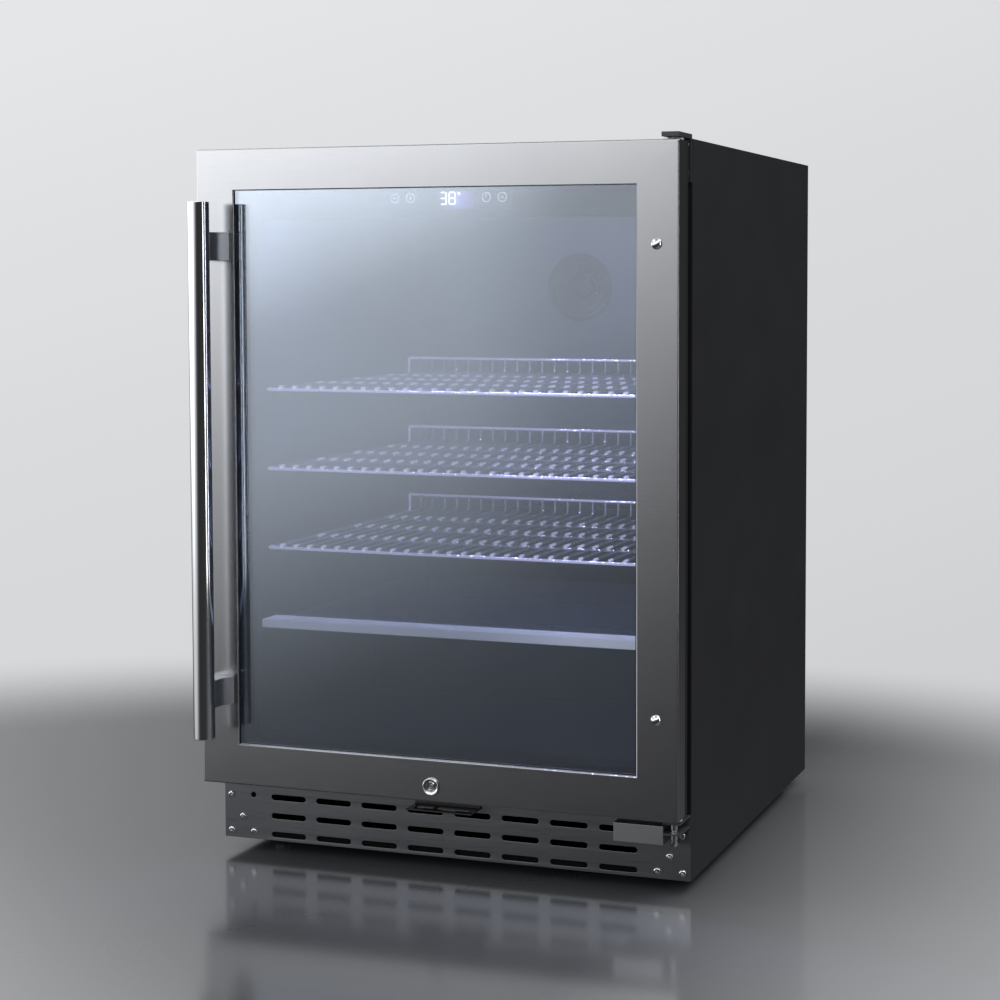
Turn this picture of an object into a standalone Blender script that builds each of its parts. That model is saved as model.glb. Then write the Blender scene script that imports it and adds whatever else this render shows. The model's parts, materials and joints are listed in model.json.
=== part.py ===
"""Undercounter refrigerator with a framed glass door, as an assembly of separate parts.

Frame: metres, +Z up, origin on the floor under the middle of the bounding box.
The front faces -Y and the door hinges on the +X side. "depth" below means the
distance behind the plane of the door's front face.
"""

import math

import bmesh
import bpy
from mathutils import Matrix

# ---------------------------------------------------------------- driving dimensions (metres)
GAP = 0.0003                 # between parts that touch
WIDTH = 0.598                # door and cabinet
HALF = WIDTH / 2
REAR = 0.33125               # back of the cabinet sides
DOOR_FRONT = -0.27875        # plane of the door's front face
CABINET_DEPTH = 0.052        # depth at which the cabinet starts
FLOOR_GAP = 0.016            # under the cabinet sides and the kick plate
CABINET_TOP = 0.8573
SHEET = 0.0012               # steel sheet
BACK_RECESS = 0.003          # rear panel inside the ends of the sides
SCREW_HOLE_R = 0.0024
EDGE = 0.0004                # small bevel on glass and lens edges

DOOR_BOTTOM = 0.096
DOOR_TOP = 0.854
DOOR_MIDDLE = (DOOR_BOTTOM + DOOR_TOP) / 2
FRAME_FACE = 0.049           # width of the steel frame round the window
SKIN = 0.001
SKIN_DEPTH = 0.026
INNER_DEPTH = 0.040
GLASS_OVERLAP = 0.0085       # how far the glass runs under the frame
OUTER_GLASS = (0.0030, 0.0070)
INNER_GLASS = (0.0193, 0.0233)

HINGE_X = HALF - 0.0105
HINGE_DEPTH = 0.020
PIN_R = 0.004
PIN_BORE_R = 0.0043
BUSH_R = 0.0070
PIN_SIDES = 16
HINGE_PLATE_X = (HINGE_X - 0.010, HALF - 0.0005)
TOP_PLATE_Z = (0.8568, 0.8620)
TOP_LEG_BOTTOM = 0.8085
TOP_SCREW_X = 0.2915
TOP_SCREW_ZS = (0.850, 0.818)
LOWER_PLATES = ((0.0790, 0.0810), (0.0912, 0.0932))
HINGE_WEB_DEPTH = (0.0477, 0.0502)
LOWER_PIN_BOTTOM = 0.0645
BUSH_DEPTH = 0.0130

HANDLE_X = -HALF + 0.0255
HANDLE_R = 0.0125
HANDLE_DEPTH = -0.040
HANDLE_LENGTH = 0.632
POST_OFFSET = 0.2645         # posts above and below the middle of the door
POST_HEIGHT = 0.033

LOCK_Z = 0.114
LOCK_R = 0.010
PLUG_R = 0.0060
CAM_REACH = 0.038
STRIKE_Z = (0.0780, 0.0795)
STRIKE_HALF = 0.042
STRIKE_SLOTS = ((-0.0340, -0.0120), (-0.0080, 0.0340))

KICK_TOP = 0.094
KICK_DEPTH = (0.0505, 0.0517)
KICK_ROWS = (0.0235, 0.0465, 0.0695)
KICK_SLOTS = 8
KICK_PITCH = 0.0605
KICK_SLOT = (0.0464, 0.0070)
KICK_SCREW_EDGE = 0.0095
KICK_SCREW_Z = (0.025, 0.069)

FACE_FRAME_DEPTH = (0.052, 0.056)
CAVITY_HALF = 0.2535
CAVITY_FLOOR = 0.140
CAVITY_TOP = 0.816
CAVITY_FRONT_DEPTH = 0.0563  # foam, liner and deck start here, behind the face frame
LINER = 0.0015
CAVITY_BACK = 0.286
HUMP_FRONT = 0.106           # liner step over the machine bay
HUMP_TOP = 0.240
BAY_FRONT = 0.141            # machine bay under the step
BAY_TOP = 0.205
DECK_Z = 0.1030

SHELF_TOPS = (0.572, 0.475, 0.378)
SHELF_HALF = 0.251
SHELF_FRONT_DEPTH = 0.072
SHELF_LENGTH = 0.420
WIRE = 0.0035
SHELF_THICK = 0.0070         # wires welded across rails
SHELF_LIP = 0.020            # raised rail along the back of a wire shelf
WIRE_PITCH = 0.018
GLASS_SHELF_TOP = 0.284
GLASS_SHELF_THICK = 0.0045
GLASS_SHELF_DEPTH = 0.060

EVAPORATOR_X = 0.200
EVAPORATOR_Z = (0.300, 0.790)
EVAPORATOR_FRONT = 0.2320
COLD_FAN_Z = 0.690
COLD_FAN_Y = 0.2475

WARM_FAN_X = 0.120
WARM_FAN_Y = 0.158
WARM_FAN_Z = 0.112
SHROUD_Y = 0.148

PAN_FLOOR = 0.020
PAN_WALL = 0.012
PAN_FRONT_DEPTH = 0.0522
PAN_EAR_X = 0.235            # inner edge of the ears that take the kick plate's screws
LEG_X = 0.262
LEG_YS = (-0.150, 0.285)

OBJECT_NAME = "undercounter_refrigerator"

# name: (colour, roughness, metallic)
FINISHES = {
    "brushed_stainless": ((0.55, 0.56, 0.57, 1), 0.32, 1.0),
    "polished_stainless": ((0.75, 0.76, 0.78, 1), 0.12, 1.0),
    "black_painted_steel": ((0.016, 0.016, 0.018, 1), 0.45, 0.0),
    "galvanised_steel": ((0.45, 0.46, 0.47, 1), 0.45, 1.0),
    "black_plastic": ((0.015, 0.015, 0.016, 1), 0.50, 0.0),
    "dark_liner": ((0.030, 0.034, 0.040, 1), 0.40, 0.0),
    "foam": ((0.72, 0.62, 0.38, 1), 0.95, 0.0),
    "tinted_glass": ((0.55, 0.60, 0.64, 1), 0.05, 0.0),
    "black_rubber": ((0.010, 0.010, 0.010, 1), 0.75, 0.0),
    "dark_gloss_lens": ((0.010, 0.010, 0.014, 1), 0.10, 0.0),
    "light_diffuser": ((0.70, 0.75, 1.00, 1), 0.40, 0.0),
    "copper_tube": ((0.72, 0.40, 0.26, 1), 0.35, 1.0),
    "chromed_wire": ((0.70, 0.72, 0.76, 1), 0.20, 1.0),
    "white_nylon": ((0.80, 0.80, 0.78, 1), 0.45, 0.0),
}


def depth(distance):
    """World Y at a distance behind the door's front face."""
    return DOOR_FRONT + distance


# ---------------------------------------------------------------- scene helpers
def clear_scene():
    for old in list(bpy.data.objects):
        bpy.data.objects.remove(old, do_unlink=True)


def new_collection(name):
    collection = bpy.data.collections.new(name)
    bpy.context.scene.collection.children.link(collection)
    return collection


clear_scene()
PARTS = new_collection(OBJECT_NAME)
CUTTERS = new_collection("cutters")
MATERIALS = {}


def material(finish):
    """One Principled material for each finish, made when first asked for."""
    if finish not in MATERIALS:
        colour, roughness, metallic = FINISHES[finish]
        made = bpy.data.materials.new(finish)
        made.use_nodes = True
        shader = made.node_tree.nodes["Principled BSDF"]
        shader.inputs["Base Color"].default_value = colour
        shader.inputs["Roughness"].default_value = roughness
        shader.inputs["Metallic"].default_value = metallic
        MATERIALS[finish] = made
    return MATERIALS[finish]


def add_part(name, data, finish, place=(0, 0, 0)):
    part = bpy.data.objects.new(name, data)
    part.location = place
    data.materials.append(material(finish))
    PARTS.objects.link(part)
    return part


def add_cutter(name, mesh, place=(0, 0, 0)):
    cutter = bpy.data.objects.new(name, mesh)
    cutter.location = place
    cutter.hide_render = True
    cutter.display_type = "WIRE"
    CUTTERS.objects.link(cutter)
    return cutter


def mesh_from(name, bm):
    mesh = bpy.data.meshes.new(name)
    bm.normal_update()
    bm.to_mesh(mesh)
    bm.free()
    return mesh


def smooth(part, angle=35):
    part.data.shade_smooth()
    part.data.set_sharp_from_angle(angle=math.radians(angle))
    return part


# ---------------------------------------------------------------- shape helpers
def add_box(bm, low, high):
    """A box between two corners, from a scaled cube."""
    made = bmesh.ops.create_cube(bm, size=1.0)
    size = [h - l for l, h in zip(low, high)]
    middle = [(h + l) / 2 for l, h in zip(low, high)]
    bmesh.ops.scale(bm, vec=size, verts=made["verts"])
    bmesh.ops.translate(bm, vec=middle, verts=made["verts"])
    return made["verts"]


def add_cylinder(bm, radius, length, centre, axis="Z", sides=24, top_radius=None):
    made = bmesh.ops.create_cone(
        bm, cap_ends=True, segments=sides, radius1=radius,
        radius2=radius if top_radius is None else top_radius, depth=length,
    )
    turns = {"X": ((0, 1, 0), 90), "Y": ((1, 0, 0), -90), "Z": ((0, 0, 1), 0)}
    about, angle = turns[axis]
    turn = rotation(angle, about)
    bmesh.ops.rotate(bm, cent=(0, 0, 0), matrix=turn, verts=made["verts"])
    bmesh.ops.translate(bm, vec=centre, verts=made["verts"])
    return made["verts"]


def rotation(degrees, about):
    return Matrix.Rotation(math.radians(degrees), 3, about)


def box_mesh(name, low, high):
    bm = bmesh.new()
    add_box(bm, low, high)
    return mesh_from(name, bm)


def boxes_mesh(name, boxes):
    bm = bmesh.new()
    for low, high in boxes:
        add_box(bm, low, high)
    return mesh_from(name, bm)


def cylinders_mesh(name, rods):
    """Several cylinders in one mesh; each rod is a dict of add_cylinder's arguments."""
    bm = bmesh.new()
    for rod in rods:
        add_cylinder(bm, **rod)
    return mesh_from(name, bm)


def box_part(name, low, high, finish, bevel=0.0):
    part = add_part(name, box_mesh(name, low, high), finish)
    if bevel:
        round_edges(part, bevel)
    return part


def round_edges(part, width, segments=1):
    bevel = part.modifiers.new("rounded_edges", "BEVEL")
    bevel.width = width
    bevel.segments = segments
    bevel.limit_method = "ANGLE"
    bevel.angle_limit = math.radians(40)
    return bevel


def boolean(part, operation, cutter):
    step = part.modifiers.new(operation.lower(), "BOOLEAN")
    step.operation = operation
    step.object = cutter
    step.solver = "EXACT"
    return step


def cut(part, mesh):
    boolean(part, "DIFFERENCE", add_cutter(part.name + "_cut", mesh))


def join(part, mesh):
    boolean(part, "UNION", add_cutter(part.name + "_add", mesh))


def cut_holes(part, rods):
    cut(part, cylinders_mesh(part.name + "_holes", rods))


def hole(x, y, z, radius, length, axis="Y", sides=12):
    return {"radius": radius, "length": length, "centre": (x, y, z), "axis": axis, "sides": sides}


def open_box_part(name, low, high, open_sides, thickness, finish, bevel=0.0):
    """A sheet box without some sides ('-y', '+z', ...), thickened inwards."""
    bm = bmesh.new()
    add_box(bm, low, high)
    bm.normal_update()
    wanted = {"-x": (0, -1), "+x": (0, 1), "-y": (1, -1), "+y": (1, 1), "-z": (2, -1), "+z": (2, 1)}
    gone = []
    for side in open_sides:
        index, sign = wanted[side]
        gone += [face for face in bm.faces if face.normal[index] * sign > 0.9]
    bmesh.ops.delete(bm, geom=gone, context="FACES")
    part = add_part(name, mesh_from(name, bm), finish)
    if bevel:
        round_edges(part, bevel, 2)
    thicken(part, thickness)
    return part


def thicken(part, thickness):
    shell = part.modifiers.new("sheet", "SOLIDIFY")
    shell.thickness = thickness
    shell.offset = -1.0
    shell.use_even_offset = True
    return shell


def ring_part(name, outer, inner, near, far, finish):
    """A rectangular ring: outer and inner are (half width, bottom, top)."""
    low = (-outer[0], near, outer[1])
    high = (outer[0], far, outer[2])
    part = box_part(name, low, high, finish)
    cut(part, box_mesh(name + "_opening", (-inner[0], near - 0.01, inner[1]),
                       (inner[0], far + 0.01, inner[2])))
    return part


def turned_part(name, profile, place, axis, finish, steps=PIN_SIDES, closed=False):
    """A profile of (radius, height) points, top to bottom on its outer side, turned about an axis."""
    bm = bmesh.new()
    points = [bm.verts.new((radius, 0, height)) for radius, height in profile]
    for first, second in zip(points, points[1:]):
        bm.edges.new((first, second))
    if closed:
        bm.edges.new((points[-1], points[0]))
    part = add_part(name, mesh_from(name, bm), finish, place)
    part.rotation_euler = {"Z": (0, 0, 0), "-Y": (math.pi / 2, 0, 0), "Y": (-math.pi / 2, 0, 0)}[axis]
    turn = part.modifiers.new("turned", "SCREW")
    turn.steps = steps
    turn.render_steps = steps
    turn.use_merge_vertices = True
    turn.merge_threshold = 0.0001
    turn.use_smooth_shade = True
    return part


def slot_row_mesh(name, centres, length, height, near, far, end_steps=4):
    """Upright-plate slots with round ends: rounded outlines run through from near to far."""
    bm = bmesh.new()
    straight = (length - height) / 2
    radius = height / 2
    for x, z in centres:
        outline = []
        for side in (1, -1):
            for step in range(end_steps + 1):
                angle = -math.pi / 2 + math.pi * step / end_steps
                outline.append((x + side * (straight + radius * math.cos(angle)),
                                z + side * radius * math.sin(angle)))
        verts = [bm.verts.new((px, near, pz)) for px, pz in outline]
        face = bm.faces.new(verts)
        pushed = bmesh.ops.extrude_face_region(bm, geom=[face])
        moved = [item for item in pushed["geom"] if isinstance(item, bmesh.types.BMVert)]
        bmesh.ops.translate(bm, vec=(0, far - near, 0), verts=moved)
    bmesh.ops.recalc_face_normals(bm, faces=bm.faces)
    return mesh_from(name, bm)


def tube_mesh(name, points, radius):
    """A closed tube through the points, from a bevelled poly curve made into a mesh."""
    curve = bpy.data.curves.new(name + "_path", "CURVE")
    curve.dimensions = "3D"
    curve.bevel_depth = radius
    curve.bevel_resolution = 1
    curve.use_fill_caps = True
    spline = curve.splines.new("POLY")
    spline.points.add(len(points) - 1)
    for target, point in zip(spline.points, points):
        target.co = (*point, 1)
    holder = bpy.data.objects.new(name + "_path", curve)
    PARTS.objects.link(holder)
    bpy.context.view_layer.update()
    evaluated = holder.evaluated_get(bpy.context.evaluated_depsgraph_get())
    mesh = bpy.data.meshes.new_from_object(evaluated)
    bpy.data.objects.remove(holder, do_unlink=True)
    bm = bmesh.new()
    bm.from_mesh(mesh)
    bmesh.ops.remove_doubles(bm, verts=bm.verts, dist=0.00001)
    bmesh.ops.recalc_face_normals(bm, faces=bm.faces)
    bm.to_mesh(mesh)
    bm.free()
    return mesh


def serpentine(passes, near, far, pitch, turn_steps=4):
    """Points of parallel runs joined by half-circle bends, as (along, across) pairs."""
    radius = pitch / 2
    points = []
    for run in range(passes):
        across = run * pitch
        ends = (near, far) if run % 2 == 0 else (far, near)
        points += [(ends[0], across), (ends[1], across)]
        if run < passes - 1:
            way = 1 if run % 2 == 0 else -1
            for step in range(1, turn_steps):
                angle = math.pi * step / turn_steps
                points.append((ends[1] + way * radius * math.sin(angle),
                               across + radius * (1 - math.cos(angle))))
    return points


# ---------------------------------------------------------------- cabinet
def make_cabinet():
    front = depth(CABINET_DEPTH)
    inside = HALF - SHEET - GAP
    back = REAR - BACK_RECESS
    open_box_part("cabinet_wrap", (-HALF, front, FLOOR_GAP), (HALF, REAR, CABINET_TOP),
                  ("-y", "+y", "-z"), SHEET, "black_painted_steel", bevel=0.001)

    panel = box_part("rear_panel", (-inside, back - SHEET, PAN_FLOOR + PAN_WALL + GAP),
                     (inside, back, CABINET_TOP - SHEET - GAP), "galvanised_steel")
    louvres = [(x, 0.07 + 0.018 * row) for x in (-0.13, 0.05) for row in range(7)]
    cut(panel, slot_row_mesh("louvres", louvres, 0.12, 0.006, back - 0.01, back + 0.01, 2))
    cut_holes(panel, [hole(0.24, back, 0.075, 0.0095, 0.02, sides=16)])

    pan = open_box_part("base_pan", (-inside, depth(PAN_FRONT_DEPTH), PAN_FLOOR),
                        (inside, back - SHEET - GAP, PAN_FLOOR + PAN_WALL), ("+z",), SHEET,
                        "black_painted_steel")
    ears = []
    for side in (-1, 1):
        across = sorted((side * PAN_EAR_X, side * inside))
        ears.append(((across[0], depth(PAN_FRONT_DEPTH), PAN_FLOOR + 0.0004),
                     (across[1], depth(0.0536), KICK_TOP - 0.001)))
    join(pan, boxes_mesh("pan_ears", ears))
    holes = [hole(side * (HALF - KICK_SCREW_EDGE), depth(0.053), z, SCREW_HOLE_R, 0.01)
             for side in (-1, 1) for z in KICK_SCREW_Z]
    holes += [hole(side * LEG_X, y, PAN_FLOOR, 0.0056, 0.02, "Z")
              for side in (-1, 1) for y in LEG_YS]
    cut_holes(pan, holes)

    foam_back = back - SHEET - GAP
    foam = box_part("insulation_foam", (-inside, depth(CAVITY_FRONT_DEPTH), DECK_Z + 0.0013),
                    (inside, foam_back, CABINET_TOP - SHEET - GAP), "foam")
    wall = LINER + GAP
    cut(foam, boxes_mesh("foam_cavity", [
        ((-CAVITY_HALF - wall, -0.3, HUMP_TOP - wall), (CAVITY_HALF + wall, CAVITY_BACK + wall,
                                                      CAVITY_TOP + wall)),
    ]))
    cut(foam, box_mesh("foam_lower", (-CAVITY_HALF - wall, -0.3, CAVITY_FLOOR - wall),
                       (CAVITY_HALF + wall, HUMP_FRONT + wall, HUMP_TOP + 0.01)))
    cut(foam, box_mesh("foam_bay", (-0.3, BAY_FRONT - 0.0019, 0.05), (0.3, 0.4, BAY_TOP + 0.0013)))

    ring_part("front_face_frame", (inside, KICK_TOP + 0.0005, CABINET_TOP - SHEET - GAP),
              (CAVITY_HALF, CAVITY_FLOOR, CAVITY_TOP), depth(FACE_FRAME_DEPTH[0]),
              depth(FACE_FRAME_DEPTH[1]), "black_plastic")
    cut_holes(bpy.data.objects["front_face_frame"],
              [hole(TOP_SCREW_X, depth(0.054), z, SCREW_HOLE_R, 0.01) for z in TOP_SCREW_ZS])
    make_deck(foam_back)
    make_liner()


def make_deck(back):
    """Stepped sheet that closes the foam above the machine compartment."""
    half = HALF - SHEET - GAP
    deck = box_part("machine_deck", (-half, depth(CAVITY_FRONT_DEPTH), DECK_Z),
                    (half, BAY_FRONT - 0.0006, DECK_Z + 0.001), "galvanised_steel")
    join(deck, box_mesh("deck_riser", (-half, BAY_FRONT - 0.0016, DECK_Z),
                        (half, BAY_FRONT - 0.0006, BAY_TOP + 0.001)))
    join(deck, box_mesh("deck_roof", (-half, BAY_FRONT - 0.0016, BAY_TOP),
                        (half, back, BAY_TOP + 0.001)))


def make_liner():
    """Moulded liner with a step over the machine bay and a ledge for each side of each shelf."""
    front = depth(CAVITY_FRONT_DEPTH)
    liner = box_part("inner_liner", (-CAVITY_HALF - LINER, front, CAVITY_FLOOR - LINER),
                     (CAVITY_HALF + LINER, CAVITY_BACK + LINER, CAVITY_TOP + LINER), "dark_liner")
    cut(liner, box_mesh("liner_upper", (-CAVITY_HALF, front - 0.01, HUMP_TOP),
                        (CAVITY_HALF, CAVITY_BACK, CAVITY_TOP)))
    cut(liner, box_mesh("liner_lower", (-CAVITY_HALF, front - 0.01, CAVITY_FLOOR),
                        (CAVITY_HALF, HUMP_FRONT, HUMP_TOP + 0.01)))
    cut(liner, box_mesh("liner_step", (-0.3, HUMP_FRONT + LINER, 0.1), (0.3, 0.4, HUMP_TOP - LINER)))
    ledges = []
    tops = [top - SHELF_THICK - GAP for top in SHELF_TOPS]
    tops.append(GLASS_SHELF_TOP - GLASS_SHELF_THICK - GAP)
    for top in tops:
        for side in (-1, 1):
            across = sorted((side * 0.2465, side * (CAVITY_HALF + LINER / 2)))
            ledges.append(((across[0], depth(0.098), top - 0.008), (across[1], 0.212, top)))
    join(liner, boxes_mesh("liner_ledges", ledges))


def make_kick_plate():
    near, far = (depth(d) for d in KICK_DEPTH)
    plate = box_part("kick_plate", (-HALF, near, FLOOR_GAP), (HALF, far, KICK_TOP),
                     "brushed_stainless")
    centres = [(KICK_PITCH * (column - (KICK_SLOTS - 1) / 2), z)
               for z in KICK_ROWS for column in range(KICK_SLOTS)]
    cut(plate, slot_row_mesh("kick_slots", centres, *KICK_SLOT, near - 0.01, far + 0.01))
    holes = [hole(side * (HALF - KICK_SCREW_EDGE), near, z, SCREW_HOLE_R, 0.02)
             for side in (-1, 1) for z in KICK_SCREW_Z]
    holes.append(hole(-HALF + 0.0395, near, 0.0705, 0.0035, 0.02))
    cut_holes(plate, holes)
    for side, word in ((-1, "left"), (1, "right")):
        for z, level in zip(KICK_SCREW_Z, ("lower", "upper")):
            under_bracket = side == 1 and level == "upper"
            seat = HINGE_WEB_DEPTH[0] if under_bracket else KICK_DEPTH[0]
            add_screw("kick_screw_%s_%s" % (word, level), side * (HALF - KICK_SCREW_EDGE), z, seat,
                      0.0552)


def add_screw(name, x, z, seat, tip):
    """A pan-head screw whose head sits on the face at depth seat and whose tip is at depth tip."""
    head, shank, rise = 0.0042, 0.0020, 0.0018
    low = seat - GAP
    profile = [(0, low - rise), (head * 0.6, low - rise), (head, low - rise * 0.45), (head, low),
               (shank, low), (shank, tip), (0, tip)]
    turned = [(radius, -distance) for radius, distance in profile]
    return turned_part(name, turned, (x, DOOR_FRONT, z), "-Y", "polished_stainless", 12)


# ---------------------------------------------------------------- hinges
def make_hinges():
    axis_y = depth(HINGE_DEPTH)
    top = box_part("top_hinge_bracket", (HINGE_PLATE_X[0], depth(0.001), TOP_PLATE_Z[0]),
                   (HINGE_PLATE_X[1], depth(0.0517), TOP_PLATE_Z[1]), "black_painted_steel")
    join(top, box_mesh("top_leg", (0.2828, depth(0.0490), TOP_LEG_BOTTOM),
                       (HINGE_PLATE_X[1], depth(0.0517), TOP_PLATE_Z[0] + 0.001)))
    cut_holes(top, [hole(HINGE_X, axis_y, TOP_PLATE_Z[0], PIN_BORE_R, 0.03, "Z", PIN_SIDES)])
    cut_holes(top, [hole(TOP_SCREW_X, depth(0.05), z, SCREW_HOLE_R, 0.01) for z in TOP_SCREW_ZS])
    for z, word in zip(TOP_SCREW_ZS, ("upper", "lower")):
        add_screw("top_hinge_screw_" + word, TOP_SCREW_X, z, 0.0490, 0.0558)
    pin_length = TOP_PLATE_Z[1] - 0.0002 - (DOOR_TOP - 0.0115)
    rod_part("top_hinge_pin", PIN_R, pin_length,
             (HINGE_X, axis_y, TOP_PLATE_Z[1] - 0.0002 - pin_length / 2), "polished_stainless")

    low = box_part("bottom_hinge_bracket",
                   (HINGE_PLATE_X[0], depth(HINGE_WEB_DEPTH[0]), 0.0600),
                   (HINGE_PLATE_X[1], depth(HINGE_WEB_DEPTH[1]), LOWER_PLATES[1][1]),
                   "black_painted_steel")
    join(low, boxes_mesh("lower_plates", [
        ((HINGE_PLATE_X[0], depth(0.009), bottom), (HINGE_PLATE_X[1], depth(0.0490), top_z))
        for bottom, top_z in LOWER_PLATES]))
    cut_holes(low, [hole(HINGE_X, axis_y, 0.085, PIN_BORE_R, 0.05, "Z", PIN_SIDES)])
    cut_holes(low, [hole(HALF - KICK_SCREW_EDGE, depth(0.049), KICK_SCREW_Z[1], SCREW_HOLE_R, 0.01)])
    pin_top = DOOR_BOTTOM + 0.0115
    rod_part("bottom_hinge_pin", PIN_R, pin_top - LOWER_PIN_BOTTOM,
             (HINGE_X, axis_y, (pin_top + LOWER_PIN_BOTTOM) / 2), "polished_stainless")
    open_box_part("bottom_hinge_cover", (0.2190, depth(0.012), 0.0665),
                  (0.2780, depth(0.0502), 0.0880), ("+y",), 0.001, "brushed_stainless")
    make_strike()


def make_strike():
    """Bracket on the kick plate whose shelf has a slot for the lock's cam."""
    low, high = STRIKE_Z
    web_top = DOOR_BOTTOM - 0.0045
    strike = box_part("lock_strike_bracket", (-STRIKE_HALF, depth(0.0472), low),
                      (STRIKE_HALF, depth(0.0502), web_top), "black_painted_steel")
    join(strike, box_mesh("strike_shelf", (-STRIKE_HALF, depth(0.0200), low),
                          (STRIKE_HALF, depth(0.0480), high)))
    for across in STRIKE_SLOTS:
        cut(strike, box_mesh("strike_slot", (across[0], depth(0.0260), low - 0.01),
                             (across[1], depth(0.0390), high + 0.01)))


def rod_part(name, radius, length, centre, finish, axis="Z", sides=PIN_SIDES):
    """A plain pin with its origin at its own middle."""
    bm = bmesh.new()
    add_cylinder(bm, radius, length, (0, 0, 0), axis, sides)
    return smooth(add_part(name, mesh_from(name, bm), finish, centre))


# ---------------------------------------------------------------- door
def door_box(margin):
    """Half width, bottom and top of the door's outline, shrunk by a margin."""
    return HALF - margin, DOOR_BOTTOM + margin, DOOR_TOP - margin


def make_door():
    make_skin()
    inner = box_part("door_inner_frame", (-door_box(0.0013)[0], depth(SKIN + GAP), door_box(0.0013)[1]),
                     (door_box(0.0013)[0], depth(INNER_DEPTH), door_box(0.0013)[2]), "black_plastic")
    opening = door_box(FRAME_FACE)
    rebate = door_box(FRAME_FACE - GLASS_OVERLAP - 0.0005)
    cut(inner, box_mesh("door_opening", (-opening[0], depth(-0.01), opening[1]),
                        (opening[0], depth(0.06), opening[2])))
    cut(inner, box_mesh("glass_rebate", (-rebate[0], depth(-0.01), rebate[1]),
                        (rebate[0], depth(INNER_GLASS[1] + GAP), rebate[2])))
    hinge_y = depth(HINGE_DEPTH)
    cut_holes(inner, [hole(HINGE_X, hinge_y, z, BUSH_R + GAP, 2 * (BUSH_DEPTH + 0.001), "Z", PIN_SIDES)
                      for z in (DOOR_BOTTOM, DOOR_TOP)])
    cut_holes(inner, [hole(0, depth(0.0150), LOCK_Z, 0.0088, 0.0276, sides=24)])
    cut(inner, box_mesh("cam_pocket", (-0.0125, depth(0.0285), 0.05),
                        (CAM_REACH + 0.0065, depth(0.0360), 0.1265)))

    glass = door_box(FRAME_FACE - GLASS_OVERLAP)
    for name, span in (("outer_glass", OUTER_GLASS), ("inner_glass", INNER_GLASS)):
        box_part(name, (-glass[0], depth(span[0]), glass[1]), (glass[0], depth(span[1]), glass[2]),
                 "tinted_glass", EDGE)
    ring_part("glass_spacer", glass, door_box(FRAME_FACE + 0.0035), depth(OUTER_GLASS[1] + GAP),
              depth(INNER_GLASS[0] - GAP), "black_plastic")
    ring_part("door_gasket", door_box(0.018), door_box(0.035), depth(INNER_DEPTH + GAP),
              depth(CABINET_DEPTH - GAP), "black_rubber")
    make_bushes()
    make_plugs()
    make_handle()
    make_lock()


def make_skin():
    """Folded steel skin: front face, outer returns, and short returns round the window."""
    half, bottom, top = door_box(0)
    bm = bmesh.new()
    add_box(bm, (-half, DOOR_FRONT, bottom), (half, depth(SKIN_DEPTH), top))
    bm.normal_update()
    rear = [face for face in bm.faces if face.normal.y > 0.9]
    bmesh.ops.delete(bm, geom=rear, context="FACES")
    front = [face for face in bm.faces if face.normal.y < -0.9]
    bmesh.ops.inset_region(bm, faces=front, thickness=FRAME_FACE, use_even_offset=True)
    pushed = bmesh.ops.extrude_face_region(bm, geom=front)
    moved = [item for item in pushed["geom"] if isinstance(item, bmesh.types.BMVert)]
    bmesh.ops.translate(bm, vec=(0, OUTER_GLASS[0] - GAP, 0), verts=moved)
    lids = [item for item in pushed["geom"] if isinstance(item, bmesh.types.BMFace)]
    bmesh.ops.delete(bm, geom=lids + [f for f in front if f.is_valid], context="FACES")
    skin = add_part("door_skin_frame", mesh_from("door_skin_frame", bm), "brushed_stainless")
    fold = thicken(skin, SKIN)
    fold.solidify_mode = "NON_MANIFOLD"
    fold.nonmanifold_thickness_mode = "CONSTRAINTS"
    cut_holes(skin, [hole(HINGE_X, depth(HINGE_DEPTH), z, BUSH_R + GAP, 0.01, "Z", PIN_SIDES)
                     for z in (DOOR_BOTTOM, DOOR_TOP)])
    cut_holes(skin, [hole(0, DOOR_FRONT, LOCK_Z, 0.0088, 0.01, sides=24)])
    cut_holes(skin, [hole(-HANDLE_X, DOOR_FRONT, DOOR_MIDDLE + side * POST_OFFSET, 0.0034, 0.01)
                     for side in (-1, 1)])


def make_bushes():
    flange, rise = 0.0095, 0.0015
    profile = [(PIN_BORE_R, BUSH_DEPTH), (BUSH_R, BUSH_DEPTH), (BUSH_R, -GAP), (flange, -GAP),
               (flange, -GAP - rise), (PIN_BORE_R, -GAP - rise)]
    for name, z, way in (("hinge_bush_lower", DOOR_BOTTOM, 1), ("hinge_bush_upper", DOOR_TOP, -1)):
        placed = [(radius, way * height) for radius, height in profile]
        ordered = placed if way == 1 else placed[::-1]
        turned_part(name, ordered, (HINGE_X, depth(HINGE_DEPTH), z), "Z", "white_nylon", closed=True)


def make_plugs():
    """Domed plugs in the spare handle holes of the hinge side."""
    dome, stem = 0.0062, 0.0030
    for side, word in ((1, "upper"), (-1, "lower")):
        arc = [(dome * math.sin(math.radians(a)), GAP + 0.0030 * math.cos(math.radians(a)))
               for a in (0, 22, 45, 67, 90)]
        profile = arc + [(stem, GAP), (stem, -SKIN - 0.0001), (0, -SKIN - 0.0001)]
        turned_part("hole_plug_" + word, profile,
                    (-HANDLE_X, DOOR_FRONT, DOOR_MIDDLE + side * POST_OFFSET), "-Y",
                    "polished_stainless", 16)


def make_handle():
    rod_part("handle_bar", HANDLE_R, HANDLE_LENGTH, (HANDLE_X, depth(HANDLE_DEPTH), DOOR_MIDDLE),
             "polished_stainless", sides=28)
    for side, word in ((1, "upper"), (-1, "lower")):
        middle = DOOR_MIDDLE + side * POST_OFFSET
        post = add_part("handle_post_" + word, post_mesh(middle), "polished_stainless")
        cut_holes(post, [hole(HANDLE_X, depth(HANDLE_DEPTH), middle, HANDLE_R + GAP, 0.08, "Z", 28)])


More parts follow.
